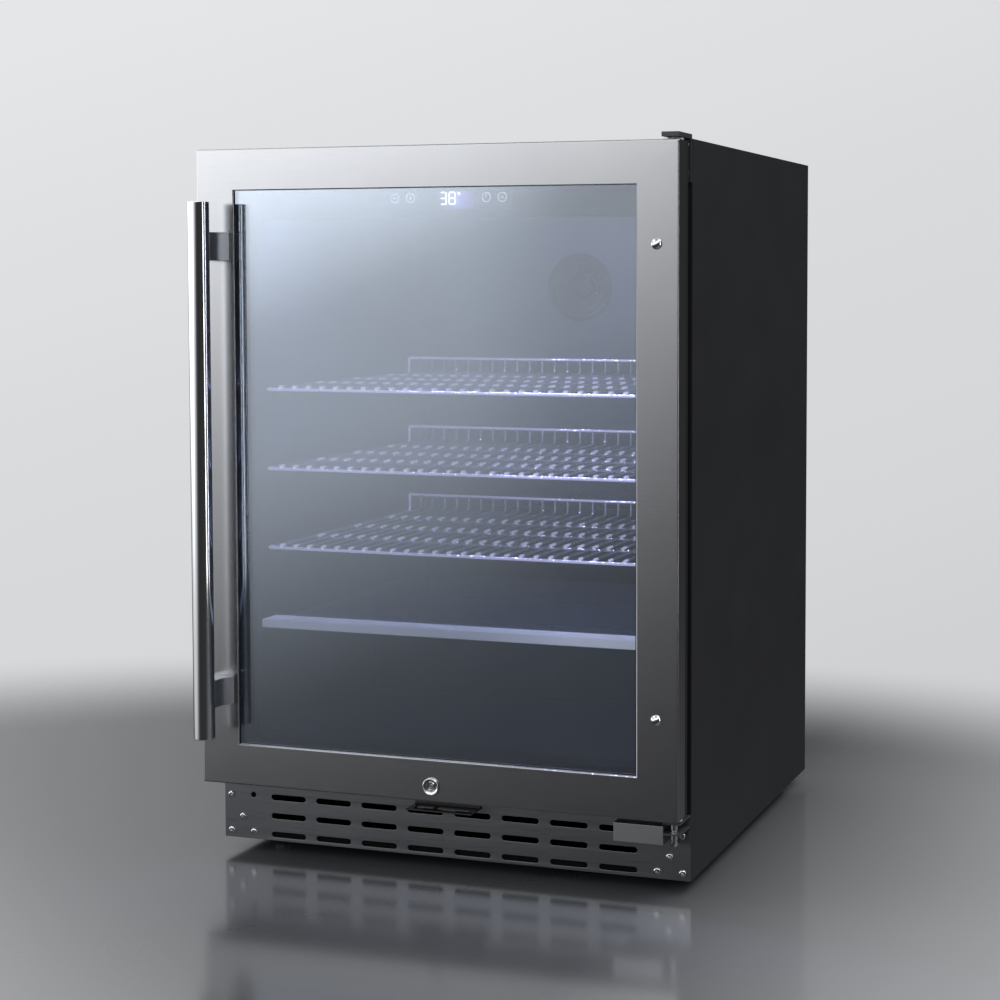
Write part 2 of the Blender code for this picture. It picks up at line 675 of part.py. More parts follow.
def post_mesh(middle):
    """A block that flares with a cosine curve from the bar to the door face."""
    slim, wide, reach, steps = 0.0095, 0.0180, 0.0360, 8
    side = []
    for step in range(steps + 1):
        part_way = step / steps
        out = reach + (GAP - reach) * part_way
        flare = max(0.0, (part_way - 0.35) / 0.65)
        side.append((slim + (wide - slim) * (1 - math.cos(flare * math.pi / 2)), -out))
    outline = [(HANDLE_X + x, y) for x, y in side] + [(HANDLE_X - x, y) for x, y in reversed(side)]
    bm = bmesh.new()
    verts = [bm.verts.new((x, DOOR_FRONT + y, middle - POST_HEIGHT / 2)) for x, y in outline]
    face = bm.faces.new(verts)
    pushed = bmesh.ops.extrude_face_region(bm, geom=[face])
    moved = [item for item in pushed["geom"] if isinstance(item, bmesh.types.BMVert)]
    bmesh.ops.translate(bm, vec=(0, 0, POST_HEIGHT), verts=moved)
    bmesh.ops.recalc_face_normals(bm, faces=bm.faces)
    return mesh_from("post", bm)


def make_lock():
    barrel, bore, proud, end = 0.0085, 0.0063, 0.0028, 0.0270
    profile = [(bore, proud), (LOCK_R, proud), (LOCK_R, GAP), (barrel, GAP), (barrel, -end), (bore, -end)]
    turned_part("lock_housing", profile, (0, DOOR_FRONT, LOCK_Z), "-Y", "polished_stainless", 24, True)
    face, key_out, key_in, key_deep, tail = 0.0022, 0.0040, 0.0022, 0.0035, 0.0300
    profile = [(0, face), (key_in, face), (key_in, face - key_deep), (key_out, face - key_deep),
               (key_out, face), (PLUG_R, face), (PLUG_R, -tail), (0, -tail)]
    turned_part("lock_plug", profile, (0, DOOR_FRONT, LOCK_Z), "-Y", "polished_stainless", 24)
    cam = add_part("lock_cam", box_mesh("lock_cam", (-0.0060, 0.0303, -0.0040),
                                        (CAM_REACH, 0.0333, 0.0040)), "galvanised_steel",
                   (0, DOOR_FRONT, LOCK_Z))
    round_edges(cam, 0.001)


# ---------------------------------------------------------------- shelves
def make_wire_shelf(name, top):
    """Front-to-back wires on cross rails, with a raised rail along the back."""
    front = depth(SHELF_FRONT_DEPTH)
    back = front + SHELF_LENGTH
    shelf = box_part(name, (-SHELF_HALF, front, top - SHELF_THICK), (SHELF_HALF, back, top),
                     "chromed_wire")
    columns = int((2 * SHELF_HALF - WIRE) / WIRE_PITCH)
    pitch = (2 * SHELF_HALF - WIRE) / columns
    rows = 3
    row_pitch = (SHELF_LENGTH - WIRE) / rows
    windows = []
    for column in range(columns):
        x = -SHELF_HALF + WIRE + column * pitch
        for row in range(rows):
            y = front + WIRE + row * row_pitch
            windows.append(((x, y, top - 0.01), (x + pitch - WIRE, y + row_pitch - WIRE, top + 0.01)))
    cut(shelf, boxes_mesh(name + "_windows", windows))
    bars = [((-SHELF_HALF, back - WIRE, top + SHELF_LIP - WIRE), (SHELF_HALF, back, top + SHELF_LIP))]
    for column in (0, 9, 18, columns):
        x = -SHELF_HALF + column * pitch
        bars.append(((x, back - WIRE, top - WIRE), (x + WIRE, back, top + SHELF_LIP)))
    for bar in bars[1:]:
        join(shelf, box_mesh(name + "_upright", *bar))
    join(shelf, box_mesh(name + "_lip", *bars[0]))


def make_shelves():
    for word, top in zip(("upper", "middle", "lower"), SHELF_TOPS):
        make_wire_shelf("wire_shelf_" + word, top)
    front = depth(GLASS_SHELF_DEPTH)
    box_part("glass_shelf_pane", (-0.2490, front + 0.012, GLASS_SHELF_TOP - GLASS_SHELF_THICK),
             (0.2490, 0.212, GLASS_SHELF_TOP), "tinted_glass", EDGE)
    trim = box_part("glass_shelf_trim", (-0.2505, front, GLASS_SHELF_TOP - 0.0075),
                    (0.2505, front + 0.034, GLASS_SHELF_TOP + 0.0025), "light_diffuser")
    cut(trim, box_mesh("trim_slot", (-0.2493, front + 0.0117, GLASS_SHELF_TOP - 0.0048),
                       (0.2493, front + 0.05, GLASS_SHELF_TOP + GAP)))


# ---------------------------------------------------------------- controls and light
def make_controls():
    fascia = box_part("control_fascia", (-0.2530, depth(0.0585), 0.7720),
                      (0.2530, depth(0.0860), 0.8155), "black_plastic", 0.0015)
    cut(fascia, box_mesh("lens_recess", (-0.0803, depth(0.05), 0.7817),
                         (0.0803, depth(0.0603), 0.8063)))
    box_part("display_lens", (-0.0800, depth(0.0580), 0.7820), (0.0800, depth(0.0600), 0.8060),
             "dark_gloss_lens", EDGE)
    box_part("led_light_bar", (-0.2000, depth(0.0920), 0.8075), (0.2000, depth(0.1040), 0.8155),
             "light_diffuser", 0.0015)


# ---------------------------------------------------------------- cold side
def make_cold_side():
    cover = open_box_part("evaporator_cover", (-EVAPORATOR_X, EVAPORATOR_FRONT, EVAPORATOR_Z[0]),
                          (EVAPORATOR_X, CAVITY_BACK - GAP, EVAPORATOR_Z[1]), ("+y",), LINER,
                          "dark_liner")
    cut_holes(cover, [hole(0, EVAPORATOR_FRONT, COLD_FAN_Z, 0.047, 0.02, sides=28)])
    vents = [(x, 0.330 + 0.014 * row) for x in (-0.09, 0.09) for row in range(5)]
    cut(cover, slot_row_mesh("return_vents", vents, 0.13, 0.006, EVAPORATOR_FRONT - 0.01,
                             EVAPORATOR_FRONT + 0.01, 2))
    points = [(x, 0.262, 0.400 + z) for x, z in serpentine(10, -0.165, 0.165, 0.022, 3)]
    smooth(add_part("evaporator_coil", tube_mesh("evaporator_coil", points, 0.0045), "copper_tube"))
    make_fan("evaporator_fan", (0, COLD_FAN_Y, COLD_FAN_Z), 0.043, 0.014, 5, 0.0110, 0.0080)
    make_motor("evaporator_fan_motor", (0, COLD_FAN_Y, COLD_FAN_Z), 0.0190, 0.2610,
               CAVITY_BACK - GAP)


def make_fan(name, place, radius, hub, blades, thick, chord):
    """Hub, tilted blades and a stub shaft that runs back into its motor."""
    bm = bmesh.new()
    add_cylinder(bm, hub, thick, (0, 0, 0), "Y", 16)
    fan = smooth(add_part(name, mesh_from(name, bm), "black_plastic", place))
    for blade in range(blades):
        bm = bmesh.new()
        verts = add_box(bm, (hub * 0.7, -0.0007, -chord), (radius, 0.0007, chord))
        far = [vert for vert in verts if vert.co.x > radius * 0.9]
        bmesh.ops.scale(bm, vec=(1, 1, 1.6), verts=far)
        bmesh.ops.rotate(bm, cent=(0, 0, 0), matrix=rotation(24, (1, 0, 0)), verts=verts)
        bmesh.ops.rotate(bm, cent=(0, 0, 0), matrix=rotation(360 * blade / blades, (0, 1, 0)),
                         verts=verts)
        cutter = add_cutter(name + "_blade", mesh_from(name + "_blade", bm), place)
        boolean(fan, "UNION", cutter)
    bm = bmesh.new()
    add_cylinder(bm, 0.0025, 0.020, (0, 0.0120, 0), "Y", 12)
    boolean(fan, "UNION", add_cutter(name + "_shaft", mesh_from(name + "_shaft", bm), place))
    return fan


def make_motor(name, shaft, radius, near, far):
    """Motor can with a shaft bore at its front, on a strap that fixes it at its back."""
    bm = bmesh.new()
    add_cylinder(bm, radius, far - near, (shaft[0], (near + far) / 2, shaft[2]), "Y", 20)
    motor = smooth(add_part(name, mesh_from(name, bm), "galvanised_steel"))
    join(motor, box_mesh("strap", (shaft[0] - radius * 1.9, far - 0.0020, shaft[2] - 0.008),
                         (shaft[0] + radius * 1.9, far, shaft[2] + 0.008)))
    cut_holes(motor, [hole(shaft[0], near, shaft[2], 0.0030, 0.024, sides=12)])
    return motor


# ---------------------------------------------------------------- machine compartment
def make_machinery():
    floor = PAN_FLOOR + SHEET + GAP
    compressor_profile = [(0, 0.150), (0.030, 0.147), (0.055, 0.134), (0.068, 0.112), (0.070, 0.078),
                          (0.074, 0.074), (0.074, 0.068), (0.070, 0.064), (0.068, 0.030),
                          (0.050, 0.010), (0, 0.008)]
    compressor = turned_part("compressor", compressor_profile, (-0.110, 0.240, floor), "Z",
                             "black_painted_steel", 24)
    join(compressor, box_mesh("compressor_feet", (-0.190, 0.180, floor),
                              (-0.030, 0.300, floor + 0.012)))

    points = [(x, -0.140 + y, 0.060) for x, y in serpentine(8, -0.205, 0.205, 0.032, 4)]
    smooth(add_part("condenser_coil", tube_mesh("condenser_coil", points, 0.0048), "black_painted_steel"))
    shroud = open_box_part("condenser_fan_shroud", (0.035, SHROUD_Y, floor),
                           (0.205, SHROUD_Y + 0.030, 0.2035), ("+y",), 0.0015, "black_plastic")
    cut_holes(shroud, [hole(WARM_FAN_X, SHROUD_Y, WARM_FAN_Z, 0.072, 0.02, sides=32)])
    make_fan("condenser_fan", (WARM_FAN_X, WARM_FAN_Y, WARM_FAN_Z), 0.067, 0.016, 5, 0.0110, 0.0120)
    make_warm_motor(floor)
    open_box_part("drain_tray", (-0.200, 0.170, 0.1790), (-0.030, 0.312, 0.2030), ("+z",), 0.0015,
                  "black_plastic")
    back = REAR - BACK_RECESS
    profile = [(0.0045, 0.0025), (0.0120, 0.0025), (0.0120, GAP), (0.0092, GAP), (0.0092, -0.0060),
               (0.0110, -0.0060), (0.0085, -0.0110), (0.0045, -0.0110)]
    turned_part("cord_gland", profile, (0.240, back, 0.075), "Y", "black_plastic", 16, True)


def make_warm_motor(floor):
    """Fan motor on a pedestal from the base pan."""
    near, far = WARM_FAN_Y + 0.012, WARM_FAN_Y + 0.050
    bm = bmesh.new()
    add_cylinder(bm, 0.026, far - near, (WARM_FAN_X, (near + far) / 2, WARM_FAN_Z), "Y", 20)
    motor = smooth(add_part("condenser_fan_motor", mesh_from("condenser_fan_motor", bm), "galvanised_steel"))
    join(motor, box_mesh("pedestal", (WARM_FAN_X - 0.015, far - 0.010, floor),
                         (WARM_FAN_X + 0.015, far - 0.004, WARM_FAN_Z)))
    join(motor, box_mesh("pedestal_foot", (WARM_FAN_X - 0.030, far - 0.012, floor),
                         (WARM_FAN_X + 0.030, far + 0.020, floor + 0.003)))
    cut_holes(motor, [hole(WARM_FAN_X, near, WARM_FAN_Z, 0.0030, 0.030, sides=12)])


def make_legs():
    """Levelling legs: a pad, a hexagon to turn it by, and a stud up through the base pan."""
    profile = [(0, 0.060), (0.0048, 0.060), (0.0048, PAN_FLOOR - GAP), (0.0105, PAN_FLOOR - GAP),
               (0.0105, 0.0110), (0.0160, 0.0060), (0.0180, 0.0030), (0.0180, 0), (0, 0)]
    for y, row in zip(LEG_YS, ("front", "rear")):
        for side, word in ((-1, "left"), (1, "right")):
            turned_part("leg_%s_%s" % (row, word), profile, (side * LEG_X, y, 0), "Z", "black_plastic", 12)


make_cabinet()
make_kick_plate()
make_hinges()
make_door()
make_shelves()
make_controls()
make_cold_side()
make_machinery()
make_legs()
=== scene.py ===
"""Looks of the undercounter refrigerator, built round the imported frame.

Everything is in metres in the frame's own axes: the front faces -Y and the door hinges on
the +X side. "depth" is the distance behind the plane of the door's front face.
"""
import json
import math

import bmesh
import bpy
from mathutils import Matrix, Vector


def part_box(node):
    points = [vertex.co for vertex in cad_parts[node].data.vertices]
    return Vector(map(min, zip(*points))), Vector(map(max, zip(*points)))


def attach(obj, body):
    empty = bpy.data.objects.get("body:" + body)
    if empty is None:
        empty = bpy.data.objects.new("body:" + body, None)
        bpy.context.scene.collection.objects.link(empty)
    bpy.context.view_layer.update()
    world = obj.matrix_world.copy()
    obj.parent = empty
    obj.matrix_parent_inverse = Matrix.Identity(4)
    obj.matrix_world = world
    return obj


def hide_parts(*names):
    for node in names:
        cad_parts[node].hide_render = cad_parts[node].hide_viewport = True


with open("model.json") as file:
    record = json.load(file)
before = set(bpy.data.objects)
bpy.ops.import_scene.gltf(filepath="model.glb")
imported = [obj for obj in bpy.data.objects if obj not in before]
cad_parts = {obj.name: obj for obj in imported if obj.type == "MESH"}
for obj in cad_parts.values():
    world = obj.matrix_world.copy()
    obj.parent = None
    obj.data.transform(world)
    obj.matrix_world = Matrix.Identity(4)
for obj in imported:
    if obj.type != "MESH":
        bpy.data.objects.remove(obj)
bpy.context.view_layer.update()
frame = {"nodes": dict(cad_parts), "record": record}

# ---------------------------------------------------------------- places taken from the frame
BODY_OF = {node: body for body, nodes in frame["record"]["behaviour"]["bodies"].items()
           for node in nodes}
SLOT_OF = {part["node"]: part["material_slot"] for part in frame["record"]["subparts"]}

skin_low, skin_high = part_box("door_skin_frame")
FRONT = skin_low.y
HALF = skin_high.x
DOOR_LOW, DOOR_HIGH = skin_low.z, skin_high.z
FRAME_FACE = 0.049              # width of the steel face round the window
SHEET = 0.001                   # thickness of the door's steel
SKIN_DEPTH = 0.026              # how far the skin folds back

MERGE = 1e-6                    # points closer than this are one
SHARP = 35                      # degrees; edges that turn more stay hard
FLAT = 0.6                      # degrees; faces that turn less are one


def depth(distance):
    """World Y at a distance behind the door's front face."""
    return FRONT + distance


def middle(node):
    """Centre of a CAD node's box."""
    low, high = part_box(node)
    return (low + high) / 2


# ---------------------------------------------------------------- materials
GRAIN_SPAN = (0.25, 0.75)       # the part of a pattern's range that holds most of it
SHEEN_SPAN = (0.02, 0.19)       # X over which the painted sheen on the door glass fades


def ramp_node(nodes, stops):
    """Colour ramp from (position, colour) stops."""
    ramp = nodes.new("ShaderNodeValToRGB")
    elements = ramp.color_ramp.elements
    while len(elements) < len(stops):
        elements.new(0.5)
    for element, (position, colour) in zip(elements, stops):
        element.position = position
        element.color = (*colour, 1)
    return ramp


def remap(nodes, links, value, span, target=(0.0, 1.0), smooth=False):
    """A value's span carried onto a target span."""
    node = nodes.new("ShaderNodeMapRange")
    if smooth:
        node.interpolation_type = "SMOOTHSTEP"
    for socket, number in zip(("From Min", "From Max", "To Min", "To Max"), (*span, *target)):
        node.inputs[socket].default_value = number
    links.new(value, node.inputs["Value"])
    return node.outputs["Result"]


def object_axis(nodes, links, axis):
    """The object coordinate along one axis."""
    place = nodes.new("ShaderNodeTexCoord")
    split = nodes.new("ShaderNodeSeparateXYZ")
    links.new(place.outputs["Object"], split.inputs["Vector"])
    return split.outputs[axis]


def distance_to(nodes, links, point):
    """Distance of the shaded point from a fixed one, in object coordinates."""
    place = nodes.new("ShaderNodeTexCoord")
    away = nodes.new("ShaderNodeVectorMath")
    away.operation = "DISTANCE"
    away.inputs[1].default_value = point
    links.new(place.outputs["Object"], away.inputs[0])
    return away.outputs["Value"]


class Shader:
    """A Principled material whose colour, roughness and bump vary by object coordinates."""

    def __init__(self, name, colour, roughness, metallic=0.0, **sockets):
        self.material = bpy.data.materials.new(name)
        self.material.use_nodes = True
        tree = self.material.node_tree
        self.nodes, self.links = tree.nodes, tree.links
        self.bsdf = self.nodes["Principled BSDF"]
        self.colour, self.roughness = colour, roughness
        self.bsdf.inputs["Metallic"].default_value = metallic
        for socket, value in sockets.items():
            self.bsdf.inputs[socket.replace("_", " ")].default_value = value
        self.place = self.nodes.new("ShaderNodeTexCoord")

    def pattern(self, kind, scale, stretch=(1, 1, 1), detail=3.0):
        """Noise or Voronoi cells at a scale per metre, stretched along an axis."""
        mapping = self.nodes.new("ShaderNodeMapping")
        mapping.inputs["Scale"].default_value = stretch
        self.links.new(self.place.outputs["Object"], mapping.inputs["Vector"])
        texture = self.nodes.new("ShaderNodeTex" + kind)
        texture.inputs["Scale"].default_value = scale
        texture.inputs["Detail"].default_value = detail
        self.links.new(mapping.outputs["Vector"], texture.inputs["Vector"])
        return texture.outputs[1 if kind == "Voronoi" else 0]

    def tone(self, source, spread):
        """Base colour a little darker and lighter along the pattern."""
        ramp = ramp_node(self.nodes, [(at, [min(1.0, part * factor) for part in self.colour])
                                      for at, factor in zip(GRAIN_SPAN, (1 - spread, 1 + spread))])
        self.links.new(source, ramp.inputs["Fac"])
        self.links.new(ramp.outputs["Color"], self.bsdf.inputs["Base Color"])

    def gloss(self, source, spread):
        """Roughness that wanders either side of its middle value."""
        rough = remap(self.nodes, self.links, source, GRAIN_SPAN,
                      (self.roughness - spread, self.roughness + spread))
        self.links.new(rough, self.bsdf.inputs["Roughness"])

    def relief(self, source, strength, height=0.0002):
        """Fine bumps of a height, in metres."""
        bump = self.nodes.new("ShaderNodeBump")
        bump.inputs["Strength"].default_value = strength
        bump.inputs["Distance"].default_value = height
        self.links.new(source, bump.inputs["Height"])
        self.links.new(bump.outputs["Normal"], self.bsdf.inputs["Normal"])


def finish(name, colour, roughness, metallic=0.0, grain=1500, stretch=(1, 1, 1), tone=0.06,
           gloss=0.04, relief=0.05, cloud=9, kind="Noise", **sockets):
    """A material with slow colour variation and a fine grain in gloss and relief."""
    shader = Shader(name, colour, roughness, metallic, **sockets)
    shader.tone(shader.pattern("Noise", cloud), tone)
    fine = shader.pattern(kind, grain, stretch)
    shader.gloss(fine, gloss)
    shader.relief(fine, relief)
    return shader.material


def spangled(name, colour, roughness):
    """Galvanised sheet: crystals of slightly different brightness."""
    shader = Shader(name, colour, roughness, 1.0)
    cells = shader.pattern("Voronoi", 110, detail=0)
    shader.tone(cells, 0.07)
    shader.gloss(cells, 0.025)
    shader.relief(shader.pattern("Noise", 900), 0.04)
    return shader.material


def see_through(name, colour, roughness, metallic, alpha, **sockets):
    """Thin pane that blends with what is behind it."""
    material = finish(name, colour, roughness, metallic, grain=35, tone=0.03, gloss=0.012,
                      relief=0.004, cloud=4, Alpha=alpha, **sockets)
    material.surface_render_method = "BLENDED"
    return material


def glass_with_painted_sheen(name, colour, roughness, sheens):
    """See-through pane with a painted reflection: more mirror-like on the handle side, fading
    clearer toward the hinge side.
    """
    material = see_through(name, colour, roughness, 1.0, sheens[0])
    nodes, links = material.node_tree.nodes, material.node_tree.links
    # painted reflection: the mirror share (alpha) falls across X, from one end of the span to the
    # other
    sheen = remap(nodes, links, object_axis(nodes, links, "X"), SHEEN_SPAN, sheens, smooth=True)
    links.new(sheen, nodes["Principled BSDF"].inputs["Alpha"])
    return material


def glowing_lens(name, colour, glow, centre, reach):
    """Dark gloss lens with a soft glow that fades from the readout."""
    material = finish(name, colour, 0.10, grain=40, tone=0.05, gloss=0.01, relief=0.004,
                      Coat_Weight=0.5, Emission_Color=glow)
    nodes, links = material.node_tree.nodes, material.node_tree.links
    fade = remap(nodes, links, distance_to(nodes, links, centre), (0.0, reach), (1.0, 0.0),
                 smooth=True)
    links.new(fade, nodes["Principled BSDF"].inputs["Emission Strength"])
    return material


def painted_glint_wire(name, glow, stops):
    """Bright chrome wire with painted glints, glowing in bands from the front rail to the rear lip.
    """
    material = finish(name, (0.80, 0.82, 0.90), 0.17, 1.0, grain=800, tone=0.04, relief=0.03,
                      Emission_Color=glow)
    nodes, links = material.node_tree.nodes, material.node_tree.links
    low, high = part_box("wire_shelf_upper")
    along = remap(nodes, links, object_axis(nodes, links, "Y"), (low.y, high.y))
    ramp = ramp_node(nodes, [(at, (level, level, level)) for at, level in stops])
    links.new(along, ramp.inputs["Fac"])
    links.new(ramp.outputs["Color"], nodes["Principled BSDF"].inputs["Emission Strength"])
    return material


# (part of the shelf's depth, glow) stops of painted glints: a wire is painted shining at the front
# rail and over each cross rail
WIRE_GLINTS = ((0.00, 1.0), (0.015, 1.0), (0.03, 0.05), (0.22, 0.05), (0.235, 0.8), (0.27, 0.8),
               (0.285, 0.05), (0.47, 0.05), (0.485, 0.7), (0.52, 0.7), (0.535, 0.05), (0.72, 0.05),
               (0.735, 0.6), (0.77, 0.6), (0.785, 0.03), (1.0, 0.03))
# painted glints of the shelf frame: at the front rail and at the rear lip
RAIL_GLINTS = ((0.00, 0.8), (0.02, 0.8), (0.05, 0.05), (0.94, 0.05), (0.985, 0.5), (1.0, 0.5))
MATERIALS = {
    "black_enamel": finish("black_enamel", (0.024, 0.025, 0.029), 0.42, grain=1300, tone=0.12,
                           relief=0.10, Specular_IOR_Level=0.22),
    "black_bracket": finish("black_bracket", (0.011, 0.011, 0.012), 0.36, grain=2600, tone=0.15,
                            relief=0.22, Specular_IOR_Level=0.55),
    "brushed_stainless": finish("brushed_stainless", (0.46, 0.465, 0.48), 0.20, 1.0, grain=900,
                                stretch=(0.03, 1, 2.6), tone=0.025, gloss=0.03, relief=0.035),
    "kick_stainless": finish("kick_stainless", (0.24, 0.245, 0.26), 0.30, 1.0, grain=900,
                             stretch=(0.03, 1, 2.6), tone=0.04, gloss=0.04, relief=0.05),
    "polished_stainless": finish("polished_stainless", (0.80, 0.81, 0.83), 0.07, 1.0, grain=700,
                                 stretch=(2.5, 2.5, 0.05), tone=0.02, gloss=0.02, relief=0.012),
    "post_stainless": finish("post_stainless", (0.42, 0.425, 0.44), 0.34, 1.0, grain=900,
                             stretch=(1, 1, 0.06), tone=0.04, gloss=0.03, relief=0.03),
    "cover_stainless": finish("cover_stainless", (0.36, 0.365, 0.38), 0.36, 1.0, grain=900,
                              stretch=(0.03, 1, 2.6), tone=0.04, gloss=0.03, relief=0.03),
    "hinge_steel": finish("hinge_steel", (0.045, 0.046, 0.049), 0.40, grain=2600, tone=0.15,
                          relief=0.20),
    # near black with almost no specular: partly the pan's black paint, partly painted shade seen
    # through the kick plate's slots
    "pan_black_and_painted_shade": finish("pan_black_and_painted_shade", (0.003, 0.003, 0.003), 0.70, grain=1200, tone=0.15,
                        relief=0.10, Specular_IOR_Level=0.05),
    "galvanised_steel": spangled("galvanised_steel", (0.42, 0.43, 0.44), 0.40),
    "black_plastic": finish("black_plastic", (0.012, 0.012, 0.013), 0.48, grain=3200, tone=0.10,
                            relief=0.16, Specular_IOR_Level=0.4),
    "liner_plastic": finish("liner_plastic", (0.020, 0.024, 0.031), 0.40, grain=2400, tone=0.08,
                            relief=0.10, Specular_IOR_Level=0.4),
    "insulation": finish("insulation", (0.66, 0.55, 0.30), 0.92, grain=420, tone=0.18, gloss=0.05,
                         relief=0.7, kind="Voronoi"),
    "door_glass": glass_with_painted_sheen("door_glass", (0.69, 0.765, 0.865), 0.06, (0.46, 0.27)),
    "inner_pane": see_through("inner_pane", (0.60, 0.66, 0.72), 0.05, 0.0, 0.07),
    "shelf_glass": see_through("shelf_glass", (0.30, 0.36, 0.42), 0.05, 0.0, 0.12,
                               Specular_IOR_Level=0.3),
    "seal_rubber": finish("seal_rubber", (0.010, 0.010, 0.0105), 0.66, grain=1800, tone=0.14,
                          relief=0.20),
    "display_lens": glowing_lens("display_lens", (0.020, 0.022, 0.030), (0.24, 0.20, 0.75, 1),
                                 middle("display_lens") + Vector((0.012, 0, 0)), 0.030),
    "light_diffuser": finish("light_diffuser", (0.62, 0.66, 0.95), 0.38, grain=1400, relief=0.05,
                             Emission_Color=(0.42, 0.44, 1.0, 1), Emission_Strength=1.6),
    # painted glow: emission stands for the cabinet's blue light falling on the trim, which is no
    # lamp
    "shelf_trim": finish("shelf_trim", (0.60, 0.62, 0.68), 0.30, grain=1400, relief=0.05,
                         Emission_Color=(0.40, 0.46, 0.60, 1), Emission_Strength=0.85),
    "copper_tube": finish("copper_tube", (0.72, 0.36, 0.22), 0.30, 1.0, grain=500, tone=0.16,
                          gloss=0.08, relief=0.04, cloud=30),
    "chromed_wire": finish("chromed_wire", (0.80, 0.82, 0.90), 0.17, 1.0, grain=800, tone=0.04,
                           relief=0.03),
    "shelf_wire": painted_glint_wire("shelf_wire", (0.66, 0.69, 1.0, 1), WIRE_GLINTS),
    "shelf_rail": painted_glint_wire("shelf_rail", (0.58, 0.60, 1.0, 1), RAIL_GLINTS),
    "nylon": finish("nylon", (0.72, 0.72, 0.68), 0.42, grain=1600, tone=0.05, relief=0.06,
                    Subsurface_Weight=0.1),
    "digits": finish("digits", (0.80, 0.86, 1.0), 0.4, grain=900, Emission_Color=(0.62, 0.70, 1, 1),
                     Emission_Strength=5.0),
    "icons": finish("icons", (0.55, 0.60, 0.66), 0.5, grain=900,
                    Emission_Color=(0.62, 0.70, 0.80, 1), Emission_Strength=1.9),
}


# ---------------------------------------------------------------- mesh helpers
def piece(name, data, material, body, replaced=()):
    """A new piece of the visual model, riding on its body."""
    obj = bpy.data.objects.new(name, data)
    bpy.context.scene.collection.objects.link(obj)
    if not data.materials:
        data.materials.append(MATERIALS[material])
    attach(obj, body)
    if replaced:
        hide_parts(*replaced)
    return obj


def to_mesh(name, bm, smooth_angle=SHARP):
    """Mesh of the built faces, merged, facing outward and smooth up to an angle."""
    bmesh.ops.remove_doubles(bm, verts=bm.verts, dist=MERGE)
    bmesh.ops.recalc_face_normals(bm, faces=bm.faces)
    mesh = bpy.data.meshes.new(name)
    bm.to_mesh(mesh)
    bm.free()
    mesh.shade_smooth()
    mesh.set_sharp_from_angle(angle=math.radians(smooth_angle))
    return mesh


def even(obj, width=0.0, segments=2, angle=SHARP):
    """Rounded edges and even shading, left as modifiers."""
    if width:
        bevel = obj.modifiers.new("rounded_edges", "BEVEL")
        bevel.width = width
        bevel.segments = segments
        bevel.limit_method = "ANGLE"
        bevel.angle_limit = math.radians(angle)
        obj.data.shade_smooth()
    shading = obj.modifiers.new("even_shading", "WEIGHTED_NORMAL")
    shading.keep_sharp = not width
    return obj


def refine(node, width, material=None, segments=2, angle=SHARP):
    """The CAD shape with its triangles merged and its edges rounded; it stands for the node."""
    mesh = frame["nodes"][node].data.copy()
    mesh.materials.clear()
    bm = bmesh.new()
    bm.from_mesh(mesh)
    bmesh.ops.remove_doubles(bm, verts=bm.verts, dist=MERGE)
    bmesh.ops.dissolve_limit(bm, angle_limit=math.radians(FLAT), verts=bm.verts, edges=bm.edges)
    bm.to_mesh(mesh)
    bm.free()
    obj = piece("fine_" + node, mesh, material or SLOT_OF[node], BODY_OF[node], (node,))
    return even(obj, width, segments, angle)


def arc(centre, radius, start, end, steps):
    """Points on an arc, angles in degrees, as (first, second) coordinates."""
    return [(centre[0] + radius * math.cos(math.radians(start + (end - start) * step / steps)),
             centre[1] + radius * math.sin(math.radians(start + (end - start) * step / steps)))
            for step in range(steps + 1)]


TURN = {"+Z": Matrix.Identity(4), "-Z": Matrix.Rotation(math.pi, 4, "X"),
        "-Y": Matrix.Rotation(math.pi / 2, 4, "X"), "+Y": Matrix.Rotation(-math.pi / 2, 4, "X")}


def turned(name, profile, place, axis="+Z", sides=48, closed=False, smooth_angle=SHARP):
    """Mesh turned from (radius, height) points about an axis through place."""
    bm = bmesh.new()
    rings = []
    for radius, height in profile:
        count = sides if radius > 1e-7 else 1
        rings.append([bm.verts.new((radius * math.cos(2 * math.pi * k / sides),
                                    radius * math.sin(2 * math.pi * k / sides), height))
                      for k in range(count)])
    pairs = list(zip(rings, rings[1:])) + ([(rings[-1], rings[0])] if closed else [])
    for low, high in pairs:
        for k in range(sides):
            corners = [low[k % len(low)], low[(k + 1) % len(low)],
                       high[(k + 1) % len(high)], high[k % len(high)]]
            corners = list(dict.fromkeys(corners))
            if len(corners) > 2:
                bm.faces.new(corners)
    bmesh.ops.transform(bm, matrix=Matrix.Translation(place) @ TURN[axis], verts=bm.verts)
    return to_mesh(name, bm, smooth_angle)


def rounded_outline(half, low, high, radius, steps):
    """Points round a rectangle in X and Z whose corners are arcs of a radius."""
    points = []
    for x, z, start in ((half, high, 0), (-half, high, 90), (-half, low, 180), (half, low, 270)):
        centre = (x - math.copysign(radius, x), z - (radius if z == high else -radius))
        points += arc(centre, radius, start, start + 90, steps)
    return points


def ring_sweep(name, profile, corner, steps):
    """Closed (inset, depth) profile carried round the door's outline."""
    bm = bmesh.new()
    rings = []
    for inset, distance in profile:
        radius = max(corner - inset, 0.0)
        outline = rounded_outline(HALF - inset, DOOR_LOW + inset, DOOR_HIGH - inset, radius, steps)
        rings.append([bm.verts.new((x, depth(distance), z)) for x, z in outline])
    for first, second in zip(rings, rings[1:] + rings[:1]):
        for k in range(len(first)):
            after = (k + 1) % len(first)
            bm.faces.new((first[k], first[after], second[after], second[k]))
    bmesh.ops.remove_doubles(bm, verts=bm.verts, dist=MERGE)
    bmesh.ops.dissolve_degenerate(bm, dist=1e-7, edges=bm.edges)
    return to_mesh(name, bm)


